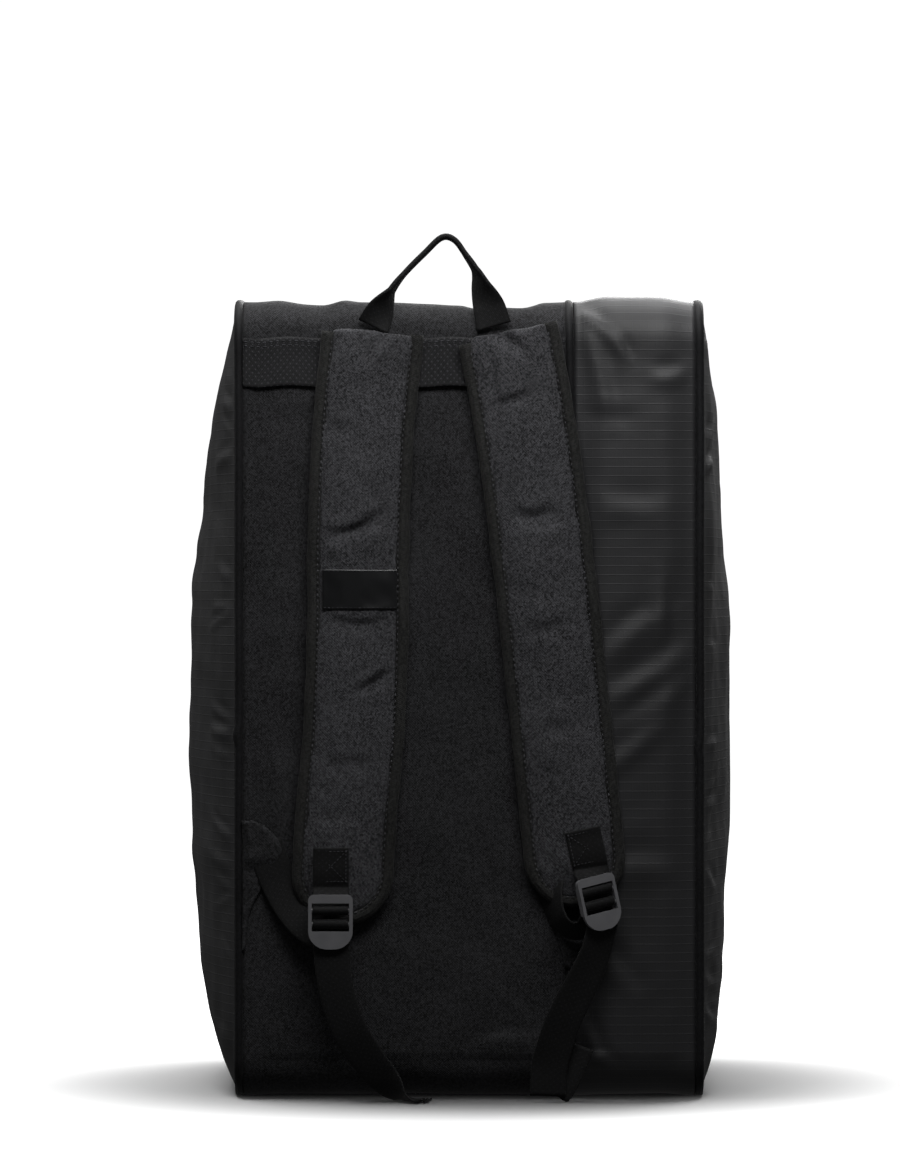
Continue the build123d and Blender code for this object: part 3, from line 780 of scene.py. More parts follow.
def main_lift(x, s):
    """How far the canvas stands off the pattern."""
    z = s + back_fold_s
    s = np.mod(s, outline_length)
    edge = near_edge(x, main_x, 26)
    back = smoothstep(z, 4, 40) * (1 - smoothstep(z, top_start, top_start + 50))
    on_top = around(s, top_start - 8, top_end + 15, 22)
    front = around(s, front_start - 20, under_start - 20, 25)
    under = smoothstep(s, under_start - 20, under_start + 20)
    sag = through([(-155, 0), (-128, -1), (-107, -4.5), (-84, -1.5), (-42, -2.5), (0, -5), (12, -9),
                   (42, -10), (60, -1), (77, 0)], x)
    lift = back * edge * (1.2 + 0.8 * ripple(x, z, 95, 3) + 0.3 * ripple(x, z, 28, 4))
    for crease in canvas_creases:
        lift += back * edge * fold(x, z, *crease)
    rumpled = 0.7 * ripple(x, s, 60, 5)
    rumpled += fold(x, s, (-98, 500), (-84, 530), (-70, 580), 7, 2.6)
    rumpled += fold(x, s, (30, 505), (20, 530), (24, 600), 8, 2.6)
    lift += on_top * (sag + edge * rumpled)
    lift += front * edge * 0.5 * ripple(x, s, 70, 6)
    lift -= under * edge * (1.2 + 0.5 * ripple(x, s, 80, 7))
    return lift - 0.8 * np.exp(-((z - seam_top) / 1.3) ** 2)


def racket_lift(x, s):
    """How far the ripstop stands off the pattern. It puffs out more than the canvas does."""
    z = s + back_fold_s
    s = np.mod(s, outline_length)
    edge = near_edge(x, racket_x, 24)
    back = smoothstep(z, 2, 34) * (1 - smoothstep(z, top_start + 40, top_start + 90))
    on_top = around(s, top_start + 10, top_end + 10, 25)
    front = around(s, front_start - 10, under_start - 20, 25)
    under = smoothstep(s, under_start - 15, under_start + 25)
    puff = through([(0, 1.5), (60, 3.5), (200, 6.0), (400, 6.0), (520, 4.5), (600, 3)], z)
    lift = back * edge * (puff + 0.4 * ripple(x, z, 95, 13, 0.8) + 0.09 * ripple(x, z, 26, 14))
    for crease in ripstop_creases:
        lift += back * near_edge(x, racket_x, 9) * fold(x, z, *crease)
    lift += on_top * edge * (1.5 + 0.8 * ripple(x, s, 60, 15))
    lift += front * edge * 0.5 * ripple(x, s, 60, 16)
    return lift - under * edge * (1.0 + 0.4 * ripple(x, s, 60, 17))


seam_top = span("back_panel")[1][2]
door_low, door_high = span("front_left_strip")[0][2], span("front_left_strip")[1][2]
print("panels meet at", round(seam_top), "and the doors span", round(door_low), "to", round(door_high))

# %% [markdown]
# ## Panels round the outline
# A panel is a fine grid over arc length and X, moved out by its band's lift and then given 2 mm of cloth
# towards the inside. A 3 mm grid is fine enough for the creases, and the weave is left to the material. The
# back, top and floor of a compartment are made as one piece, so that no false gap shows at their seams.

# %% Back, top and floor panels
cloth_thickness, grid_step = 2.0, 3.0


def wrap_panel(name, s_range, x_range, lift, inset=0.0):
    """Cloth over a stretch of the outline, lifted off it and then set in."""
    s, x = [np.linspace(*ends, int(abs(ends[1] - ends[0]) / grid_step) + 2) for ends in (s_range, x_range)]
    s, x = np.meshgrid(s, x, indexing="ij")
    y, z, out_y, out_z = on_outline(s)
    off = lift(x, s) - inset
    points = np.stack([x, y + out_y * off, np.maximum(z + out_z * off, 0.0)], -1)
    return grid_piece(name, points, np.stack([x, s], -1), inside=(x.mean(), 10, bag_top / 2))


door_top_s, door_low_s = s_front(door_high), s_front(door_low)
bands_of_cloth = (
    ("canvas_body", main_x, main_lift, canvas, "canvas", ("back_panel", "top_panel", "bottom_panel")),
    ("ripstop_body", racket_x, racket_lift, ripstop, "coated_ripstop",
     ("racket_back_panel", "racket_top_panel", "racket_bottom_panel")),
)
for name, x_range, lift, cloth, slot, nodes in bands_of_cloth:
    piece = wrap_panel(name, (door_low_s - outline_length, door_top_s), x_range, lift)
    line_inside(finish_piece(thicken(piece, cloth_thickness), cloth, "root", slot, *nodes))
    print(name, len(piece.data.polygons), "faces")

# %% [markdown]
# ## Zipped doors
# Each compartment opens with a U-shaped zip: the door is square at its hinge side and has two round corners
# at its free side. The door and the strip beside it are grids whose one edge follows that round corner, so
# that both rims run at an even distance from the zip.

# %% Door outlines
lid_low, lid_high = span("lid_panel")
flap_low, flap_high = span("racket_flap")
zip_gap, zip_round, hinge_slack = 8.0, 20.0, 0.3
half_gap = zip_gap / 2
doors = {
    "lid": {"hinge": lid_low[0], "free": lid_high[0] + half_gap, "way": 1},
    "racket_flap": {"hinge": flap_high[0], "free": flap_low[0] - half_gap, "way": -1},
}
z_zip_low, z_zip_high = lid_low[2] - half_gap, lid_high[2] + half_gap


def door_rows(grow):
    """Heights and how far the free edge is drawn back there, for the door outline grown by grow."""
    r = zip_round + grow
    low, high = z_zip_low - grow, z_zip_high + grow
    a = np.radians(np.linspace(90, 0, 12))
    round_z, back = r - r * np.sin(a), r - r * np.cos(a)
    straight = np.linspace(low + r, high - r, 110)[1:-1]
    z = np.r_[low + round_z, straight, (high - round_z)[::-1]]
    return z, np.r_[back, np.zeros(len(straight)), back[::-1]]


print("the zips run from", round(z_zip_low), "to", round(z_zip_high), "mm")

# %% [markdown]
# ## Grids for the doors
# A door swells a little in its middle, where the things inside push it. The main door also carries a pocket
# with its own zip, so its grid has a slot: two columns are set at the slot's ends, two rows at its edges, and
# the faces between them are left out.

# %% Door grids
middle_row = 60


def front_lift(x, z, door, on_door):
    """The door swells a little in its middle, and stays flat at its zip."""
    way, hinge, free = door["way"], door["hinge"], door["free"]
    reach = np.minimum(np.abs(x - free), np.minimum(z - z_zip_low, z_zip_high - z))
    swell = 3.2 * smoothstep(reach, 6, 62) * smoothstep(np.abs(x - hinge), 0, 45)
    wrinkle = smoothstep(reach, 2, 20) * (0.8 * ripple(x, z, 75, 21) + 0.3 * ripple(x, z, 26, 22))
    return np.where(on_door, swell + wrinkle * smoothstep(np.abs(x - hinge), 0, 20), 0.0)


def door_grid(name, door, grow, edge_x, on_door, skip=None):
    """Cloth from edge_x to the round rim. Skip is a zip slot's two ends in X and its lower edge."""
    z, drawn = door_rows(grow)
    rim = door["free"] + door["way"] * (grow - drawn)
    share = np.linspace(0, 1, 62 if on_door else 14)
    if skip:
        rim_x = rim[middle_row]
        share = np.unique(np.r_[share, [(v - edge_x) / (rim_x - edge_x) for v in skip[:2]]])
        keep = np.abs(z - skip[2] - half_gap) > half_gap + 1.5
        z, rim = np.r_[z[keep], skip[2], skip[2] + zip_gap], np.r_[rim[keep], rim_x, rim_x]
        order = np.argsort(z)
        z, rim = z[order], rim[order]
    x = edge_x + share[None, :] * (rim[:, None] - edge_x)
    z = np.broadcast_to(z[:, None], x.shape)
    y = y_front + front_lift(x, z, door, on_door)
    points = np.stack([x, y, z], -1)
    hole = None
    if skip:
        mid_x, mid_z = (x[:-1, 1:] + x[:-1, :-1]) / 2, (z[1:, 1:] + z[:-1, 1:]) / 2
        hole = (mid_x > skip[0]) & (mid_x < skip[1]) & (mid_z > skip[2]) & (mid_z < skip[2] + zip_gap)
    return grid_piece(name, points, np.stack([x, z], -1), skip=hole, inside=(x.mean(), 0, z.mean()))


print("grids follow row", middle_row, "of", len(door_rows(0)[0]), "at a zip slot")

# %% [markdown]
# ## Doors, and the strips round them
# The strips beside the hinges are plain stretches of the outline, so they come from the panel function. Every
# piece here gets its wall and its lining in the same way.

# %% Doors and strips
pocket_low, pocket_high = span("pocket_zip_tape")
pocket_z = (pocket_low[2] + pocket_high[2]) / 2
pocket_x = (pocket_low[0] + half_gap, pocket_high[0] - half_gap)
slot_in_lid = (*pocket_x, pocket_z - half_gap)
lid_door, flap_door = doors["lid"], doors["racket_flap"]
made_panels = [
    (door_grid("lid_panel_cloth", lid_door, -half_gap, lid_door["hinge"], True, slot_in_lid),
     canvas, "lid", "canvas", "lid_panel"),
    (door_grid("racket_flap_cloth", flap_door, -half_gap, flap_door["hinge"], True),
     ripstop, "racket_flap", "coated_ripstop", "racket_flap"),
    (door_grid("front_right_strip_cloth", lid_door, half_gap, main_x[1], False),
     canvas, "root", "canvas", "front_right_strip"),
    (door_grid("racket_front_strip_cloth", flap_door, half_gap, racket_x[0], False),
     ripstop, "root", "coated_ripstop", "racket_front_strip"),
]
for node, cloth, slot, edges in (
        ("front_left_strip", canvas, "canvas", (main_x[0], lid_door["hinge"] - hinge_slack)),
        ("racket_hinge_strip", ripstop, "coated_ripstop", (flap_door["hinge"] + hinge_slack, racket_x[1]))):
    strip = wrap_panel(f"{node}_cloth", (door_top_s, door_low_s), edges, lambda x, s: 0 * x)
    made_panels.append((strip, cloth, "root", slot, node))
for piece, cloth, body, slot, node in made_panels:
    line_inside(finish_piece(thicken(piece, cloth_thickness), cloth, body, slot, node))
print("made", ", ".join(row[0].name for row in made_panels))

# %% [markdown]
# ## Bulging side panels
# Rackets push the two side panels outwards. Each is one sheet that starts flat at its piping and swells to a
# broad middle, low on the bag where the load sits. A rounded distance from the rim gives the dome its height,
# and short creases run in from the piping, where the cloth is gathered.

# %% Side panels
swell_by_height = [(0, 0.92), (140, 0.88), (175, 0.97), (245, 1.0), (330, 1.0), (350, 0.97), (385, 0.84),
                   (420, 0.74), (490, 0.68), (525, 0.5), (560, 0.42)]
swell_from_rim = [(0, 0), (0.06, 0.13), (0.12, 0.25), (0.25, 0.45), (0.5, 0.71), (0.75, 0.89), (1.0, 1.0)]


gathers = 26


def side_rows(count=150):
    """Heights, and the outline's back and front edge at each, for a panel with round corners."""
    bend = (1 - np.cos(np.linspace(0, math.pi / 2, 16))) * 50
    z = np.unique(np.round(np.r_[bend, bag_top - bend, np.linspace(50, bag_top - 50, count)], 3))
    low, high = np.full_like(z, y_back), np.full_like(z, y_front)
    for ((cy, cz), r, start), rim in zip(corner_arcs(), (low, high, high, low)):
        part = z > cz if start > 0 else z < cz
        sign = 1 if rim is high else -1
        rim[part] = cy + sign * np.sqrt(np.maximum(r * r - (z[part] - cz) ** 2, 0))
    return z, low, high


def side_panel(name, x0, bulge, seed):
    """A dome of cloth from the seam at x0, bulging out by bulge."""
    z, low, high = side_rows()
    share = (1 - np.cos(np.linspace(0, math.pi, 90))) / 2
    y = low[:, None] + share[None, :] * (high - low)[:, None]
    z = np.broadcast_to(z[:, None], y.shape)
    half = (y_front - y_back) / 2
    dy = (y - (y_back + half)) / half
    dz = np.maximum(np.maximum(half - z, z - (bag_top - half)), 0) / half
    rim = np.minimum(y - low[:, None], high[:, None] - y)
    rim = np.minimum(rim, np.minimum(z, bag_top - z))
    from_rim = np.clip(np.minimum(1 - (np.abs(dy) ** 6 + dz ** 6) ** (1 / 6), rim / half), 0, 1)
    share_out = np.interp(from_rim, *np.array(swell_from_rim).T)
    settled = smoothstep(from_rim, 0.0, 0.15)
    out = abs(bulge) * share_out * through(swell_by_height, z)
    out += settled * (0.9 * ripple(y, z, 95, seed) + 0.3 * ripple(y, z, 30, seed + 1))
    r = np.random.default_rng(seed)
    gather = smoothstep(from_rim, 0.0, 0.05) * (1 - smoothstep(from_rim, 0.10, 0.42))
    for _ in range(gathers):
        cz = r.uniform(30, bag_top - 30)
        length, tilt = r.uniform(22, 60), r.uniform(-18, 18)
        for start, way in ((y_back, 1), (y_front, -1)):
            if r.uniform() < 0.75:
                line = [(start, cz), (start + way * length / 2, cz + tilt * 0.3),
                        (start + way * length, cz + tilt)]
                out += gather * fold(y, z, *line, r.uniform(2.5, 5), r.uniform(0.5, 1.4))
    x = x0 + math.copysign(1, bulge) * np.maximum(out, 0)
    points = np.stack([x, y, z], -1)
    return grid_piece(name, points, np.stack([y, z], -1), inside=(0, 10, bag_top / 2))


left_out, right_out = span("left_side_panel")[0][0], span("right_side_panel")[1][0]
for side, x0, bulge, seed in (
        ("left", seam["left"] - piping_half, left_out - seam["left"] + piping_half, 31),
        ("right", seam["right"] + piping_half, right_out - seam["right"] - piping_half, 41)):
    piece = thicken(side_panel(f"{side}_side_panel_cloth", x0, bulge, seed), cloth_thickness)
    line_inside(finish_piece(piece, ripstop, "root", "coated_ripstop", f"{side}_side_panel"))
    print(side, "side panel bulges", round(abs(bulge), 1), "mm")

# %% [markdown]
# ## Pipings
# A piping is a cord wrapped in a strip of cloth cut on the bias, and sewn into the seam so that its round
# edge stands out. It runs all the way round, and its two ends are tucked over each other low on the back. It
# is a tube swept round the outline, a little thicker at the tuck, and level with the floor underneath.

# %% Pipings
piping_radius, piping_proud = 3.15, 2.0


def piping(side, tuck_z):
    """A cord round the whole outline, with its ends tucked at a height on the back."""
    s = np.arange(0, outline_length, 4.0)
    y, z, out_y, out_z = on_outline(s)
    under = smoothstep(s, under_start + 20, under_start + 60)
    under *= 1 - smoothstep(s, outline_length - 42, outline_length)
    flush = np.maximum(under, smoothstep(-z, -22, 0))
    proud = piping_proud - piping_radius - piping_proud * flush
    off = proud + 0.25 * ripple(s, 0 * s, 60, 51)
    tuck = np.exp(-((s - s_back(tuck_z)) / 5) ** 2)
    wander = 0.35 * ripple(s, 0 * s, 130, 52) - 1.4 * tuck
    path = np.stack([seam[side] + wander, y + out_y * off, np.maximum(z + out_z * off, piping_radius)], 1)
    turn = np.linspace(0, 2 * math.pi, 13)
    ring = np.stack([np.cos(turn), np.sin(turn)], 1)
    size = piping_radius * (1 + 0.16 * tuck)
    size = np.append(size, size[0])
    section = ring[None] * size[:, None, None]
    return sweep(f"{side}_piping_cord", path, (1, 0, 0), section, loop=True)


for side, tuck_z in (("left", 255.0), ("middle", 120.0), ("right", 246.0)):
    finish_piece(piping(side, tuck_z), piping_cloth, "root", "piping", f"{side}_piping")
print("pipings", round(outline_length), "mm long each")

# %% [markdown]
# ## Padded shoulder straps
# A strap pad is foam between two layers of canvas, closed at its edge by a folded tape. The foam pushes the
# canvas out, so the pad is thickest along its middle. It starts as a slim closed form along a curved centre
# line, whose points are its bends. Its creases are where the strap is bent and where it is sewn down.

# %% Strap lines
strap_top = span("left_strap_pad")[1][2]
strap_half, binding_wide = 35.0, 8.0
y_pad_front, y_pad_back = span("left_strap_pad")[0][1], span("left_strap_pad")[1][1]
y_pad_middle = (y_pad_front + y_pad_back) / 2
slim_half_thick, tucked = 4.0, 2.5
strap_lines = {
    "left": [(-60.5, strap_top), (-67, 476), (-71, 400), (-71.5, 330), (-74, 262), (-79, 205), (-82, 158)],
    "right": [(33, strap_top), (44, 480), (52, 425), (60, 360), (67, 295), (74, 230), (80, 170)],
}
pad_creases = {
    "left": [
        ((-50, 538), (-58, 528), (-66, 514), 3.4, -3.3), ((-92, 395), (-72, 396), (-52, 412), 4.25, -3.6),
        ((-93, 384), (-76, 386), (-56, 398), 4.25, 2.4), ((-92, 336), (-70, 328), (-50, 337), 4.25, -2.4),
        ((-74, 284), (-62, 290), (-46, 302), 3.4, -2.7), ((-98, 470), (-84, 466), (-70, 472), 5.1, -1.4),
        ((-90, 232), (-76, 238), (-60, 234), 6.8, -1.2), ((-100, 190), (-84, 184), (-66, 190), 6.8, 1.2),
    ],
    "right": [
        ((12, 544), (28, 536), (48, 520), 4.25, -3.9), ((26, 486), (38, 488), (50, 496), 4.25, -2.7),
        ((34, 412), (50, 404), (68, 412), 5.1, -2.4), ((40, 398), (58, 390), (74, 400), 5.1, 1.8),
        ((44, 330), (60, 326), (78, 336), 5.95, -1.8), ((52, 262), (68, 256), (86, 264), 6.8, -1.4),
        ((20, 524), (24, 505), (26, 484), 3.4, -2.1),
    ],
}


def strap_frame(side):
    """The centre line in even steps, its sideways direction and its own direction, all in X and Z."""
    line = smooth_path(strap_lines[side], 4.0)
    way = unit(np.gradient(line, axis=0))
    return line, np.stack([-way[:, 1], way[:, 0]], 1), way


def strap_edge(side, half):
    """The line at half a width from the centre, down one side, round the end and up the other."""
    line, across, way = strap_frame(side)
    a = np.linspace(0, math.pi, 30)[1:-1, None]
    end = line[-1] + half * (across[-1] * np.cos(a) + way[-1] * np.sin(a))
    return np.vstack([line + across * half, end, (line - across * half)[::-1]])


def slim_pad(side):
    """The pad before it swells: a flat closed form with a round lower end, its edge tucked in the binding."""
    line, across, way = strap_frame(side)
    half = strap_half - binding_wide + tucked
    d = half * np.sin(np.linspace(0, math.pi / 2, 14))[1:-1]
    extra = line[-1] + way[-1] * d[:, None]
    wide = np.r_[np.full(len(line), half), np.sqrt(half ** 2 - d ** 2)]
    line = np.vstack([line, extra])
    across = np.vstack([across, np.repeat(across[-1:], len(extra), 0)])
    rounding = np.sqrt(np.maximum(wide[-len(d):] / half, 0.15))
    thick = slim_half_thick * np.r_[np.ones(len(line) - len(d)), rounding]
    turn = np.linspace(0, 2 * math.pi, 33)
    shape = np.stack([np.sign(np.cos(turn)) * np.abs(np.cos(turn)) ** 0.6,
                      np.sign(np.sin(turn)) * np.abs(np.sin(turn)) ** 0.6], 1)
    section = shape[None] * np.stack([wide, thick], 1)[:, None, :]
    path = np.stack([line[:, 0], np.full(len(line), y_pad_middle), line[:, 1]], 1)
    sideways = np.stack([across[:, 0], np.zeros(len(across)), across[:, 1]], 1)
    return sweep(f"{side}_strap_padding", path, sideways, section)


print("straps are", round(strap_top - strap_lines["left"][-1][1] + strap_half), "mm long or less")

# %% [markdown]
# ## Blowing up a pad
# Foam pushes on its cover evenly from inside, and a cloth simulation with pressure does the same. The rim is
# held, because the binding holds it. A few small tools read and write a mesh's points in millimetres, and
# keep what a modifier made.

# %% Cloth under pressure
def vertices_of(piece):
    """A mesh's points in millimetres."""
    values = np.zeros(len(piece.data.vertices) * 3)
    piece.data.vertices.foreach_get("co", values)
    return values.reshape(-1, 3) / MM


def set_vertices(piece, values):
    """Moves a mesh's points to new places in millimetres."""
    piece.data.vertices.foreach_set("co", (values * MM).ravel())
    piece.data.update()


def apply_modifiers(piece):
    """Keeps what the modifiers made, as the piece's own mesh."""
    bpy.context.view_layer.update()
    made = bpy.data.meshes.new_from_object(piece.evaluated_get(bpy.context.evaluated_depsgraph_get()))
    piece.modifiers.clear()
    piece.data = made


pressure, swell_steps = 4.0, 20


def swell(piece, held, cap):
    """Blows a closed piece up as cloth for a few steps. Held points stay, and none moves more than cap mm."""
    before = vertices_of(piece)
    group = piece.vertex_groups.new(name="seam")
    group.add(np.flatnonzero(held).tolist(), 1.0, "REPLACE")
    cloth = piece.modifiers.new("Swell", "CLOTH")
    cloth.settings.use_pressure = True
    cloth.settings.uniform_pressure_force = pressure
    cloth.settings.vertex_group_mass = "seam"
    cloth.settings.effector_weights.gravity = 0
    cloth.settings.quality = 4
    cloth.point_cache.frame_start, cloth.point_cache.frame_end = 1, swell_steps
    for frame_number in range(1, swell_steps + 1):
        bpy.context.scene.frame_set(frame_number)
    apply_modifiers(piece)
    move = vertices_of(piece) - before
    length = np.linalg.norm(move, axis=1, keepdims=True)
    move *= np.minimum(1, cap / np.maximum(length, 1e-6))
    set_vertices(piece, before + move)
    bpy.context.scene.frame_set(1)
    return length.max()


def edge_distance(side, x, z):
    """How far points are inside the pad's seam, in millimetres."""
    line = strap_frame(side)[0]
    near = np.full(len(x), 1e9)
    for px, pz in line:
        near = np.minimum(near, np.hypot(x - px, z - pz))
    return strap_half - binding_wide - near


def planar_uv(piece):
    """Lays the cloth's UV map straight onto the pad's front, in metres."""
    mesh = piece.data
    layer = mesh.uv_layers.get("cloth") or mesh.uv_layers.new(name="cloth")
    corners = np.zeros(len(mesh.loops), int)
    mesh.loops.foreach_get("vertex_index", corners)
    places = vertices_of(piece)[:, [0, 2]] * MM
    layer.data.foreach_set("uv", places[corners].astype(np.float32).ravel())


print("pads swell for", swell_steps, "steps")

# %% [markdown]
# ## The pads themselves
# The slim form gets an even skin by remeshing, because cloth moves best in small squares. Then it swells, is
# made finer, and gets its crown, its slow unevenness and its creases on the front. The shape of each pad's
# front is kept as a search tree, so that the label, the patches and their stitches can be laid on it.

# %% Pads
skin_size, swell_cap, held_rim = 0.0042, 5.0, 2.5
strap_front = {}
for side in ("left", "right"):
    pad = slim_pad(side)
    remesh = pad.modifiers.new("Skin", "REMESH")
    remesh.mode, remesh.voxel_size = "VOXEL", skin_size
    apply_modifiers(pad)
    place = vertices_of(pad)
    inside = edge_distance(side, place[:, 0], place[:, 2])
    held = (inside < held_rim) | (place[:, 2] > strap_top - 6)
    moved = swell(pad, held, swell_cap)
    rounder = pad.modifiers.new("Rounder", "SUBSURF")
    rounder.levels = rounder.render_levels = 1
    apply_modifiers(pad)
    place = vertices_of(pad)
    x, z = place[:, 0], place[:, 2]
    front = smoothstep(y_pad_middle - place[:, 1], -1, 2.5)
    depth = smoothstep(edge_distance(side, x, z), -1, 9)
    crown = 1.9 * smoothstep(edge_distance(side, x, z), 0, 22) * smoothstep(strap_top - z, 4, 30)
    off = crown + depth * (0.55 * ripple(x, z, 48, 61) + 0.25 * ripple(x, z, 19, 62))
    for crease in pad_creases[side]:
        off = off + depth * fold(x, z, *crease)
    place[:, 1] -= front * off
    place[:, 1] = np.clip(place[:, 1], y_pad_front - 0.6, y_pad_back + 0.3)
    set_vertices(pad, place)
    planar_uv(pad)
    pad.data.shade_smooth()
    bpy.context.view_layer.update()
    strap_front[side] = bvhtree.BVHTree.FromObject(pad, bpy.context.evaluated_depsgraph_get())
    # The pads' canvas carries painted light: it is drawn lighter than the panel's canvas.
    finish_piece(pad, pad_canvas_painted_lighter, f"{side}_strap", "foam", f"{side}_strap_pad")
    print(side, "pad has", len(pad.data.polygons), "faces and swelled", round(float(moved), 1), "mm")


def front_of(side, x, z, off=0.0):
    """Y of the pad's front at X and Z, off millimetres in front of it."""
    hit = strap_front[side].ray_cast(Vector((x * MM, -0.4, z * MM)), Vector((0, 1, 0)))[0]
    return (hit.y / MM if hit else y_pad_front + 3) - off


# %% [markdown]
# ## Binding and its stitches
# A grosgrain tape is folded over the pad's raw edge and sewn through. It is swept round the pad's outline
# with a flat, round-edged section that is wavy by a fraction of a millimetre, and the stitches run along its
# inner edge.

# %% Binding tapes
for side in ("left", "right"):
    edge = strap_edge(side, strap_half - binding_wide / 2)
    edge = smooth_path(edge[::2], 3.0)
    steps = np.arange(len(edge))
    wave = 0.35 * ripple(steps * 3.0, 0.0 * steps, 34, 71)
    y = y_pad_middle + 0.4 * ripple(steps * 3.0, 0.0 * steps, 60, 72)
    path = np.stack([edge[:, 0] + wave, y, edge[:, 1]], 1)
    way = unit(np.gradient(edge, axis=0))
    across = np.stack([-way[:, 1], 0 * steps, way[:, 0]], 1)
    tape = sweep(f"{side}_binding_tape", path, across, strip_section(binding_wide + 1.0, 5.4, 7, 0.5))
    finish_piece(tape, binding_tape, f"{side}_strap", "binding", f"{side}_strap_binding")
    seam_line = smooth_path(strap_edge(side, strap_half - binding_wide + 0.9)[2:-2:2], 3.0)
    line = np.stack([seam_line[:, 0], np.full(len(seam_line), y_pad_middle - 3.55), seam_line[:, 1]], 1)
    row_of_parts(f"{side}_binding_stitches", [line], 4.2, (2.8, 0.9, 0.7), thread, f"{side}_strap")
    print(side, "binding is", round(len(edge) * 3.0), "mm long")

# %% [markdown]
# ## Blank label
# A black satin label is sewn on the left strap. It carries no lettering here. It is a small sheet that
# follows the pad's front, with a folded hem at each end.

# %% Label
label_low, label_high = span("strap_label")
xx, zz = upright_grid(label_low, label_high, 40, 24)
yy = np.vectorize(lambda a, b: front_of("left", a, b, 0.55))(xx, zz)
right_hem = smoothstep(xx, label_high[0] - 3, label_high[0] - 2)
off_left_hem = smoothstep(xx, label_low[0] + 2, label_low[0] + 3)
hem = 0.35 * (right_hem + 1 - off_left_hem)
label = grid_piece("satin_strap_label", np.stack([xx, yy - hem, zz], -1), np.stack([xx, zz], -1),
                   inside=(-70, 0, 357))
finish_piece(thicken(label, 0.35, 1.0), label_satin, "left_strap", "label_satin", "strap_label")
stitched = np.linspace(label_low[0] + 1.5, label_high[0] - 1.5, 24)
label_rows = [[(x, front_of("left", x, z, 1.3), z) for x in stitched]
              for z in (label_low[2] + 1.2, label_high[2] - 1.2)]
row_of_parts("label_stitches", label_rows, 3.0, (2.0, 0.45, 0.4), thread, "left_strap")

# %% [markdown]
# ## Buckles
# A ladder-lock buckle is moulded in one piece: a frame, a top bar for the strap's loop, a lower bar for the
# webbing and a thumb tab. The CAD part has the right shape but sharp edges. A copy is welded and bevelled,
# because a mould never leaves a sharp edge, and the bevel catches the light that shows the plastic's satin
# face. Webbing is slack, so a buckle rarely hangs square: the right one is then swung half sideways.

# %% Bevelled copies of hard parts
def bevelled(node, material, body, slot, radius):
    """A welded copy of a CAD node with its edges rounded to a radius in millimetres."""
    piece = bpy.data.objects.new(node + "_moulding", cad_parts[node].data.copy())
    bpy.context.scene.collection.objects.link(piece)
    work = bmesh.new()
    work.from_mesh(piece.data)
    bmesh.ops.remove_doubles(work, verts=work.verts, dist=0.00001)
    bmesh.ops.dissolve_limit(work, angle_limit=math.radians(1.0), verts=work.verts, edges=work.edges)
    work.to_mesh(piece.data)
    work.free()
    soft = piece.modifiers.new("Soft edges", "BEVEL")
    soft.width, soft.segments, soft.limit_method = radius * MM, 3, "ANGLE"
    soft.angle_limit = math.radians(38)
    soft.use_clamp_overlap = True
    piece.data.shade_smooth()
    even = piece.modifiers.new("Even shading", "WEIGHTED_NORMAL")
    even.keep_sharp = True
    return finish_piece(piece, material, body, slot, node)


buckle_turn = {"left": 0.0, "right": -12.0}
buckle_yaw = {"left": 0.0, "right": 32.0}
bar_to_middle = 8.0


def buckle_axes(side, yawed=True):
    """The buckle's own across, out and up directions. The right one hangs turned and half sideways."""
    turn, yaw = math.radians(buckle_turn[side]), math.radians(buckle_yaw[side] if yawed else 0.0)
    up = np.array([math.sin(turn), 0.0, math.cos(turn)])
    flat = np.array([math.cos(turn), 0.0, -math.sin(turn)])
    across = flat * math.cos(yaw) + np.array([0.0, 1.0, 0.0]) * math.sin(yaw)
    return across, np.cross(up, across), up


buckle_bar = {}
for side in ("left", "right"):
    low, high = span(f"{side}_buckle")
    middle = (low + high) / 2
    buckle_bar[side] = middle + bar_to_middle * buckle_axes(side, False)[2]


def at_buckle(side, rows, yawed=True):
    """Places from local (across, towards the bag, up) at the buckle's top bar."""
    return np.array(rows, float) @ np.array(buckle_axes(side, yawed)) + buckle_bar[side]


def swing(piece, side):
    """Turns a buckle's mesh from its place in the pattern to how it hangs."""
    flat = (vertices_of(piece) - buckle_bar[side]) @ np.array(buckle_axes(side, False)).T
    set_vertices(piece, at_buckle(side, flat))


for side in ("left", "right"):
    moulding = bevelled(f"{side}_buckle", acetal, f"{side}_buckle", "buckle_plastic", 1.0)
    swing(moulding, side)
print("buckle bars at", {k: v.round(1).tolist() for k, v in buckle_bar.items()})

# %% [markdown]
# ## Webbing at the buckles
# The patch is a piece of webbing sewn to the pad with a boxed cross, and its end loops round the top bar. The
# lower webbing folds over the second bar. Both are the same flat section swept along a line in the buckle's
# own plane.

# %% Patches and bar wraps
webbing_wide, webbing_thick = 25.0, 1.6
wrap_radius = 1.85 + webbing_thick / 2


def arc_rows(start, end, radius, z0=0.0, count=9):
    """Places on an arc round a bar whose height is z0."""
    a = np.radians(np.linspace(start, end, count))
    return [(0, radius * math.cos(v), z0 + radius * math.sin(v)) for v in a]


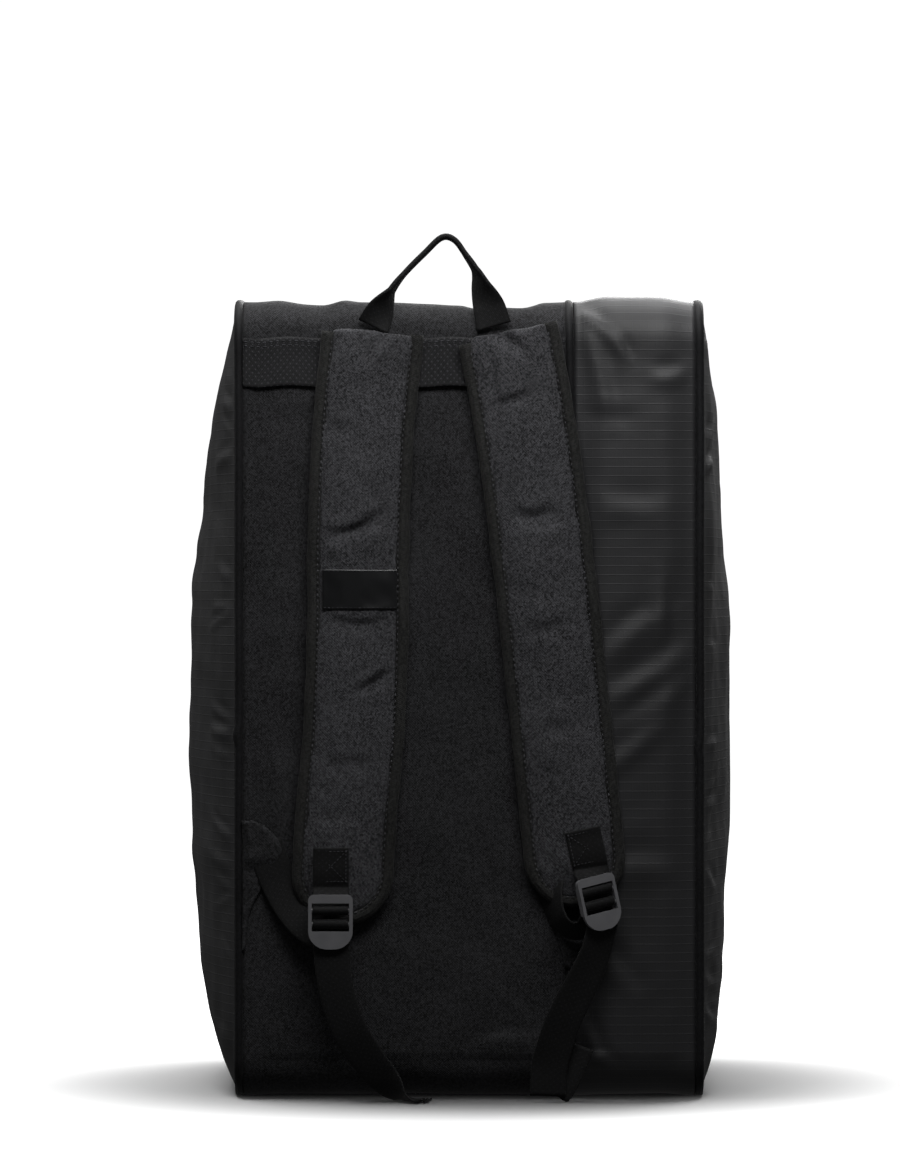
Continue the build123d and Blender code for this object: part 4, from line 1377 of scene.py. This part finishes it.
for side in ("left", "right"):
    flat_across, across = buckle_axes(side, False)[0], buckle_axes(side)[0]
    loop = arc_rows(60, -295, wrap_radius, count=22)
    top = []
    for z in np.linspace(43, 15, 12):
        place = at_buckle(side, [(0, 0, z)], False)[0]
        top.append((0, front_of(side, place[0], place[2], 1.3) - buckle_bar[side][1], z))
    rise = [(0, 7.0, 9.0), (0, 4.4, 5.0)]
    path = np.vstack([at_buckle(side, top + rise, False), at_buckle(side, loop)])
    path = smooth_path(path, 1.2)
    share = smoothstep(buckle_bar[side][2] + 17 - path[:, 2], 0, 12)[:, None]
    patch = sweep(f"{side}_buckle_patch", path, flat_across * (1 - share) + across * share,
                  strip_section(webbing_wide, webbing_thick, 5))
    finish_piece(patch, webbing, f"{side}_strap", "webbing", f"{side}_strap_patch")
    box_x, box_z = 10.5, (19.5, 40.5)
    corners = [(-box_x, box_z[0]), (box_x, box_z[0]), (box_x, box_z[1]), (-box_x, box_z[1])]
    pairs = [(0, 1), (1, 2), (2, 3), (3, 0), (0, 2), (1, 3)]
    rows = []
    for a, b in pairs:
        flat = np.linspace(corners[a], corners[b], 12)
        places = at_buckle(side, [(x, 0, z) for x, z in flat], False)
        rows.append([(x, front_of(side, x, z, 2.3), z) for x, _, z in places])
    row_of_parts(f"{side}_patch_stitches", rows, 2.6, (1.9, 0.6, 0.5), thread, f"{side}_strap")
    fold_rows = [(0, wrap_radius, -18.0), (0, wrap_radius, -13.0)] + arc_rows(0, 300, wrap_radius, -9.5, 20)
    wrap = sweep(f"{side}_lower_bar_webbing", smooth_path(at_buckle(side, fold_rows), 1.0), across,
                 strip_section(webbing_wide - 0.4, webbing_thick, 5))
    finish_piece(wrap, webbing, f"{side}_buckle", "webbing", f"{side}_bar_wrap")

# %% [markdown]
# ## Tails
# Below each buckle the loose end of the webbing hangs to the floor. Webbing bends easily along its face and
# hardly at all along its width, so it twists instead. A tail is one flat section swept down a line, with its
# width leaned step by step. The left one twists as it lands. The right one is folded up again at the floor.

# %% Loose tails
tail_paths = {
    "left": [(-90, -152, 119), (-89, -152, 100), (-85.5, -152.5, 76), (-77, -152, 51), (-64, -149, 30),
             (-52, -147, 15), (-42, -147, 6), (-32, -149, 2.0), (-22, -151, 1.6)],
    "right": [(99.5, -152, 126), (94, -152, 104), (85, -153, 84), (74, -153, 62), (66.5, -151, 42),
              (62, -149, 24), (61, -149, 4.5)],
}
tail_turn = {"left": [0, 2, 4, 6, 8, 14, 26, 55, 78], "right": [-32, -30, -20, -12, -8, 0, 0]}
floor_gap = 0.4


def lay_on_floor(piece):
    """Raises what has gone below the floor."""
    place = vertices_of(piece)
    place[:, 2] = np.maximum(place[:, 2], floor_gap)
    set_vertices(piece, place)


for side, points in tail_paths.items():
    path = smooth_path(points, 2.5)
    falls = np.sign(1e-9 - np.gradient(path, axis=0)[:, 2:])
    across = twisted(path, tail_turn[side]) * falls
    if side == "left":
        across[:, 2] *= 1 - smoothstep(np.linspace(0, 1, len(path)), 0.75, 1.0)
    tail = sweep(f"{side}_tail", path, across, strip_section(webbing_wide, webbing_thick, 5, 0.15))
    lay_on_floor(tail)
    finish_piece(tail, webbing, f"{side}_strap", "webbing", f"{side}_tail_webbing")

folded = smooth_path([(65, -147, 6.5), (70, -146, 13), (76, -145, 25), (82, -144, 40)], 2.0)
back_fold = sweep("right_tail_fold", folded, twisted(folded, [0, 0]),
                  strip_section(webbing_wide - 1, webbing_thick, 5))
lay_on_floor(back_fold)
finish_piece(back_fold, webbing, "right_strap", "webbing")
print("tails lie at", floor_gap, "mm above the floor")

# %% [markdown]
# ## Tethers
# A second length of webbing, the tether, comes from a canvas tab beside the piping and runs down to the same
# buckle. It takes the pull of the load. It crosses the joint between bag and strap, so it is made whole and
# belongs to neither body.

# %% Tethers
tether_paths = {
    "left": [(-137, -131.0, 180), (-132, -131.6, 165), (-125.5, -133, 149.5), (-117, -136.5, 135),
             (-107.5, -141.5, 124.5), (-98, -146.5, 119), (-91, -149, 119)],
    "right": [(58, -132, 168), (62, -134, 152), (65, -139, 137), (70, -142.5, 125), (78, -143.5, 119),
              (87, -144.5, 121), (94, -147, 130)],
}
tether_turn = {"left": [0, 0], "right": [0, 20, 50, 60, 60, 55, 40]}
off_back = 1.2


def make_tether(side):
    """Webbing from the tab to the buckle, kept off the back panel."""
    points = tether_paths[side]
    path = smooth_path(points, 2.5)
    tether = sweep(f"{side}_tether", path, twisted(path, tether_turn[side]),
                   strip_section(webbing_wide, webbing_thick, 5, 0.1))
    place = vertices_of(tether)
    place[:, 1] = np.minimum(place[:, 1], y_back - off_back)
    set_vertices(tether, place)
    finish_piece(tether, webbing, None, "webbing", f"{side}_anchor_webbing")
    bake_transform(tether)
    return tether


print("tethers start at heights", [points[0][2] for points in tether_paths.values()])

# %% [markdown]
# ## Canvas tabs
# A tab is a folded triangle of canvas, sewn into the seam along its long edge. Its upper half is puffed over
# the end of the tether, and its lower half lies flat. It is a grid between the seam and a curved inner edge.

# %% Tabs
tab_edges = {
    "left": [(-146, 195), (-135, 190), (-125, 176.5), (-130, 163), (-139, 148), (-148, 130), (-151, 106)],
    "right": [(71, 168), (66, 165), (57, 157), (58, 146), (62, 130), (69, 112), (73.5, 92)],
}


def make_tab(side):
    """The canvas triangle between the seam and the tether."""
    low, high = span(f"{side}_anchor_tab")
    x_seam = low[0] if side == "left" else high[0]
    inner = smooth_path(tab_edges[side], 3.0)
    share = np.linspace(0, 1, len(inner))[:, None]
    outer = np.array([x_seam, inner[0, 1]]) * (1 - share) + np.array([x_seam, inner[-1, 1] - 2]) * share
    u = np.linspace(0, 1, 18)[None, :, None]
    flat = outer[:, None] * (1 - u) + inner[:, None] * u
    x, z = flat[..., 0], flat[..., 1]
    fold_over = 1 - smoothstep(share, 0.30, 0.42)
    rise = smoothstep(u[..., 0], 0, 0.25) * (0.8 + 2.4 * fold_over)
    roll = 1 - smoothstep(u[..., 0], 0.86, 1.0) * 0.5
    y = y_back - 1.4 - rise * roll - 0.35 * ripple(x, z, 14, 81)
    tab = grid_piece(f"{side}_tether_tab", np.stack([x, y, z], -1), np.stack([x, z], -1), inside=(0, 0, 100))
    return finish_piece(thicken(tab, 1.2, 0.0), canvas, "root", "canvas", f"{side}_anchor_tab")


for side in ("left", "right"):
    print("made", make_tether(side).name, "and", make_tab(side).name)

# %% [markdown]
# ## Anchor band
# A wide band of webbing across the back holds the straps' upper ends. It is sewn along its top edge, and its
# lower edge stands off the canvas, so the grid's distance from the back grows downwards.

# %% Anchor band
band_low, band_high = span("anchor_band")
xx, zz = upright_grid(band_low, band_high, 150, 22)
down = (band_high[2] - zz) / (band_high[2] - band_low[2])
ends = near_edge(xx, main_x, 12)
cloth_under = main_lift(xx, zz - back_fold_s).clip(0)
stand = 1.0 + ends * (cloth_under + 1.8 * down ** 2 + 0.5 * down * ripple(xx, zz, 40, 91))
stand += ends * fold(xx, zz, (-12, 524), (-6, 512), (-8, 500), 3.5, 1.6) * down
edge_wave = 0.8 * ripple(xx, 0 * zz, 46, 92) * ends
band = grid_piece("anchor_band_cloth", np.stack([xx, y_back - stand, zz + edge_wave], -1),
                  np.stack([xx, zz - band_low[2]], -1), inside=(0, 0, 280))
finish_piece(thicken(band, 1.5, 0.0), band_webbing, "root", "webbing", "anchor_band")
band_rows = []
for drop in (2.6, 5.6):
    xs = np.linspace(band_low[0] + 2, band_high[0] - 2, 140)
    zs = band_high[2] - drop + 0.8 * ripple(xs, 0 * xs, 46, 92) * near_edge(xs, main_x, 12)
    lift = main_lift(xs, zs - back_fold_s).clip(0) * near_edge(xs, main_x, 12)
    band_rows.append(np.stack([xs, y_back - 2.1 - lift, zs], 1))
row_of_parts("anchor_band_stitches", band_rows, 4.4, (3.0, 0.85, 0.6), thread, "root")

# %% [markdown]
# ## Haul handle
# The handle is a loop of the same webbing as the straps. Its two feet are sewn down flat, and it twists a
# quarter turn above each foot, so that its edge shows at the top. It is folded thicker there, for the hand.

# %% Haul handle
handle_points = [(-61, 540.8), (-54, 555), (-46, 569), (-37, 580), (-25, 592), (-13, 603), (-4, 601.5),
                 (4, 591), (11, 580), (15, 568), (20, 555), (24, 541)]
handle_twist = [0, 34, 82, 90, 90, 90, 90, 90, 84, 50, 10, 0]
handle_width = [23, 22, 20, 19, 19, 19, 19, 19, 19, 21, 23, 25]
handle_thick = [2.4, 2.6, 3.2, 3.6, 3.6, 3.6, 3.6, 3.6, 3.6, 3.2, 2.6, 2.4]
y_handle = (span("haul_handle")[0][1] + span("haul_handle")[1][1]) / 2
path = smooth_path([(x, y_handle, z) for x, z in handle_points], 1.5)
where = np.linspace(0, 1, len(path))
knots = np.linspace(0, 1, len(handle_twist))
across = twisted(path, handle_twist)
thick = np.interp(where, knots, handle_thick)
wide = np.interp(where, knots, handle_width)
section = np.stack([strip_section(w, t, 5, 0.1) for w, t in zip(wide, thick)])
handle = sweep("webbing_haul_handle", path, across, section)
finish_piece(handle, webbing, "haul_handle", "webbing", "haul_handle")
print("handle rises to", round(path[:, 2].max()), "mm")

# %% [markdown]
# ## Zips
# A coil zip is a nylon wire sewn to each tape in tight turns, which show as a ladder of fine bars. The turns
# are a Geometry Nodes row on each tape, so the door's half opens with the door. Real turns are 1.5 mm apart,
# and are drawn at 2 mm so that they show. A topstitch runs beside each zip, on the cloth.

# %% Coils and topstitching
y_tape = lid_low[1]


def door_path(door, grow, y):
    """The line round a door's three zipped sides, grown by grow."""
    z, drawn = door_rows(grow)
    rim = door["free"] + door["way"] * (grow - drawn)
    ends = [[door["hinge"] + door["way"] * 3, z[0]], [door["hinge"] + door["way"] * 3, z[-1]]]
    flat = np.vstack([ends[:1], np.stack([rim, z], 1), ends[1:]])
    return np.insert(flat, 1, y, axis=1)


coil_part, coil_pitch = (1.15, 2.1, 1.5), 2.0
pocket_coil_part = (1.15, 3.6, 1.5)
stitch_part, stitch_pitch = (2.7, 0.7, 0.55), 3.8
coil_apart, stitch_off, coil_proud = 1.15, 3, 0.75
zipped = {"lid": ("lid", "lid"), "racket_flap": ("flap", "racket_flap")}
for door_name, (short, body) in zipped.items():
    door = doors[door_name]
    for half, side_body, grow in (("door", body, -coil_apart), ("frame", "root", coil_apart)):
        row_of_parts(f"{short}_{half}_coil", [door_path(door, grow, y_tape + coil_proud)], coil_pitch,
                     coil_part, coil_nylon, side_body, facing=(0, 1, 0))
    for half, side_body, grow in (("door", body, -half_gap - stitch_off),
                                  ("frame", "root", half_gap + stitch_off)):
        row_of_parts(f"{short}_{half}_topstitch", [door_path(door, grow, y_front + 0.35)], stitch_pitch,
                     stitch_part, thread, side_body, facing=(0, 1, 0))
pocket_ends = np.linspace(pocket_x[0] + 1, pocket_x[1] - 1, 40)
pocket_line = [(x, y_tape + coil_proud, pocket_z) for x in pocket_ends]
row_of_parts("pocket_coil", [pocket_line], coil_pitch, pocket_coil_part, coil_nylon, "lid",
             facing=(0, 1, 0))


def pad_line(z):
    """A topstitch beside the pocket's zip, on the door's swollen face."""
    xs = np.linspace(pocket_x[0] - 4, pocket_x[1] + 4, 70)
    zs = np.full_like(xs, z)
    return np.stack([xs, y_front + front_lift(xs, zs, lid_door, True) + 0.25, zs], 1)


pocket_stitches = [pad_line(pocket_z + 7.0), pad_line(pocket_z - 7.0)]
row_of_parts("pocket_topstitch", pocket_stitches, stitch_pitch, stitch_part, thread, "lid",
             facing=(0, 1, 0))

# %% [markdown]
# ## Tapes, sliders and pulls
# The tapes are flat strips, so they keep their CAD shape and only get their finish. A slider is cast and a
# pull is moulded, and neither has a sharp edge, so both are bevelled copies like the buckles.

# %% Tapes, sliders and pulls
def dress(node, material):
    """A CAD node whose shape is right keeps it and gets its finish."""
    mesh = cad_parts[node].data
    mesh.materials.clear()
    mesh.materials.append(material)


for node in ("lid_zip_tape", "lid_frame_tape", "flap_zip_tape", "flap_frame_tape", "pocket_zip_tape"):
    dress(node, zip_tape_cloth)
for name in ("lid_upper", "lid_lower", "flap_upper", "flap_lower", "pocket"):
    bevelled(f"{name}_slider", painted_zinc, f"{name}_slider", "slider_metal", 0.35)
    bevelled(f"{name}_pull", soft_pull, f"{name}_pull", "pull_rubber", 0.4)
print("zips have", len(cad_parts["lid_zip_tape"].data.polygons), "faces of tape")

# %% [markdown]
# ## Divider and mesh pocket
# Nobody sees the inside until a door is open, and then it should not be bare. A lined divider parts the two
# compartments, and a net pocket with a taped hem hangs on it. The net is slack, so it swells in its middle.

# %% Divider and mesh pocket
z, low, high = side_rows(90)
inset = 5.0
share = np.linspace(0, 1, 60)
dy = (low + inset)[:, None] + share[None, :] * (high - low - 2 * inset)[:, None]
dz = np.broadcast_to((inset + z * (bag_top - 2 * inset) / bag_top)[:, None], dy.shape)
divider_x = (span("divider")[0][0] + span("divider")[1][0]) / 2
rim = np.minimum(share, 1 - share)[None, :]
dx = divider_x + 0.7 * ripple(dy, dz, 90, 101) * smoothstep(rim, 0, 0.08)
divider = grid_piece("lined_divider", np.stack([dx, dy, dz], -1), np.stack([dy, dz], -1),
                     inside=(-400, 0, 280))
finish_piece(thicken(divider, 2.2, 0.0), lining_cloth, "root", "lining", "divider")

pocket_box = span("mesh_pocket")
py, pz = upright_grid(*pocket_box, 50, 50, side=1)
share_y = (py - pocket_box[0][1]) / (pocket_box[1][1] - pocket_box[0][1])
share_z = (pz - pocket_box[0][2]) / (pocket_box[1][2] - pocket_box[0][2])
slack = np.sin(math.pi * share_y) ** 0.6 * smoothstep(share_z, 0, 0.3)
px = pocket_box[0][0] + 0.3 - slack * (4.5 + 0.8 * ripple(py, pz, 40, 102))
pocket = grid_piece("mesh_pocket_net", np.stack([px, py, pz], -1), np.stack([py, pz], -1),
                    inside=(400, 0, 380))
finish_piece(thicken(pocket, 0.8, 0.0), mesh_cloth, "root", "lining", "mesh_pocket")
hem = sweep("mesh_pocket_hem", np.stack([px[-1], py[-1], pz[-1]], 1), (0, 0, 1), strip_section(10, 2.0, 5))
finish_piece(hem, binding_tape, "root", "binding")
print("divider at", round(divider_x), "mm, and the net hangs out by", round(float(np.ptp(px)), 1), "mm")

# %% [markdown]
# ## Quilted back pad and board
# A foam sheet behind the straps is covered in lining and quilted across, which leaves eight soft rolls. Each
# roll's height is a sine wave made flatter on top. The board on the floor is a plain CAD part with soft
# edges.

# %% Quilted back pad and board
quilt_rolls = 8
foam_low, foam_high = span("back_foam")
fx, fz = upright_grid(foam_low, foam_high, 90, 190)
rim = np.minimum(fx - foam_low[0], foam_high[0] - fx)
rim = np.minimum(rim, np.minimum(fz - foam_low[2], foam_high[2] - fz))
channel_gap = (foam_high[2] - foam_low[2]) / quilt_rolls
channel = np.abs(np.sin(math.pi * (fz - foam_low[2]) / channel_gap)) ** 0.45
fy = foam_low[1] + 2.4 + 4.2 * smoothstep(rim, 0, 14) ** 0.5 * channel + 0.2 * ripple(fx, fz, 30, 103)
quilt = grid_piece("quilted_back_pad", np.stack([fx, fy, fz], -1), np.stack([fx, fz], -1),
                   inside=(0, -400, 280))
finish_piece(thicken(quilt, 2.2), lining_cloth, "root", "foam", "back_foam")
bevelled("base_board", board, "root", "board", 0.8)
print("rolls are", round(channel_gap), "mm high")

# %% [markdown]
# ## Foil lining and pouch
# Foil lining keeps the heat off racket strings. It is one more panel of the outline, set in from the ripstop.
# The pouch behind the pocket's zip is a thin bag that hangs from the main door.

# %% Foil lining and pouch
foil_margin, foil_inset = 10, 3.4
lining_box = span("thermal_lining")
foil_start = -(outline_length - (under_start + math.pi / 2 * corner["front_bottom"])) + foil_margin
foil_end = top_end - foil_margin
foil_x = (lining_box[0][0] + 0.3, lining_box[1][0] - 0.3)
foil_sheet = wrap_panel("foil_lining", (foil_start, foil_end), foil_x,
                        lambda x, s: 0.35 * ripple(x, s, 26, 104), inset=foil_inset)
finish_piece(thicken(foil_sheet, 0.7), foil, "root", "thermal_foil", "thermal_lining")

pouch_low, pouch_high = span("pocket_pouch")
qx, qz = upright_grid(pouch_low, pouch_high, 60, 60)
qy = pouch_high[1] - 0.3 - 1.6 * smoothstep(qz, pouch_low[2], pouch_low[2] + 60) * (
    1 - smoothstep(qz, pouch_high[2] - 40, pouch_high[2] - 15)) + 0.4 * ripple(qx, qz, 45, 105)
pouch = grid_piece("pocket_bag", np.stack([qx, qy, qz], -1), np.stack([qx, qz], -1), inside=(0, 400, 300))
finish_piece(thicken(pouch, 0.6), lining_cloth, "lid", "lining", "pocket_pouch")
print("inside pieces are in place")

# %% [markdown]
# ## Lights for the bag alone
# The near lights are limited to the bag's own pieces by light linking, which is the renderer's way to put up
# a flag. The floor then takes its shadow from the overhead light alone.

# %% Light linking
only_the_bag = bpy.data.collections.new("only_the_bag")
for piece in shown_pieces():
    only_the_bag.objects.link(piece)
for lamp in near_lights:
    lamp.light_linking.receiver_collection = only_the_bag
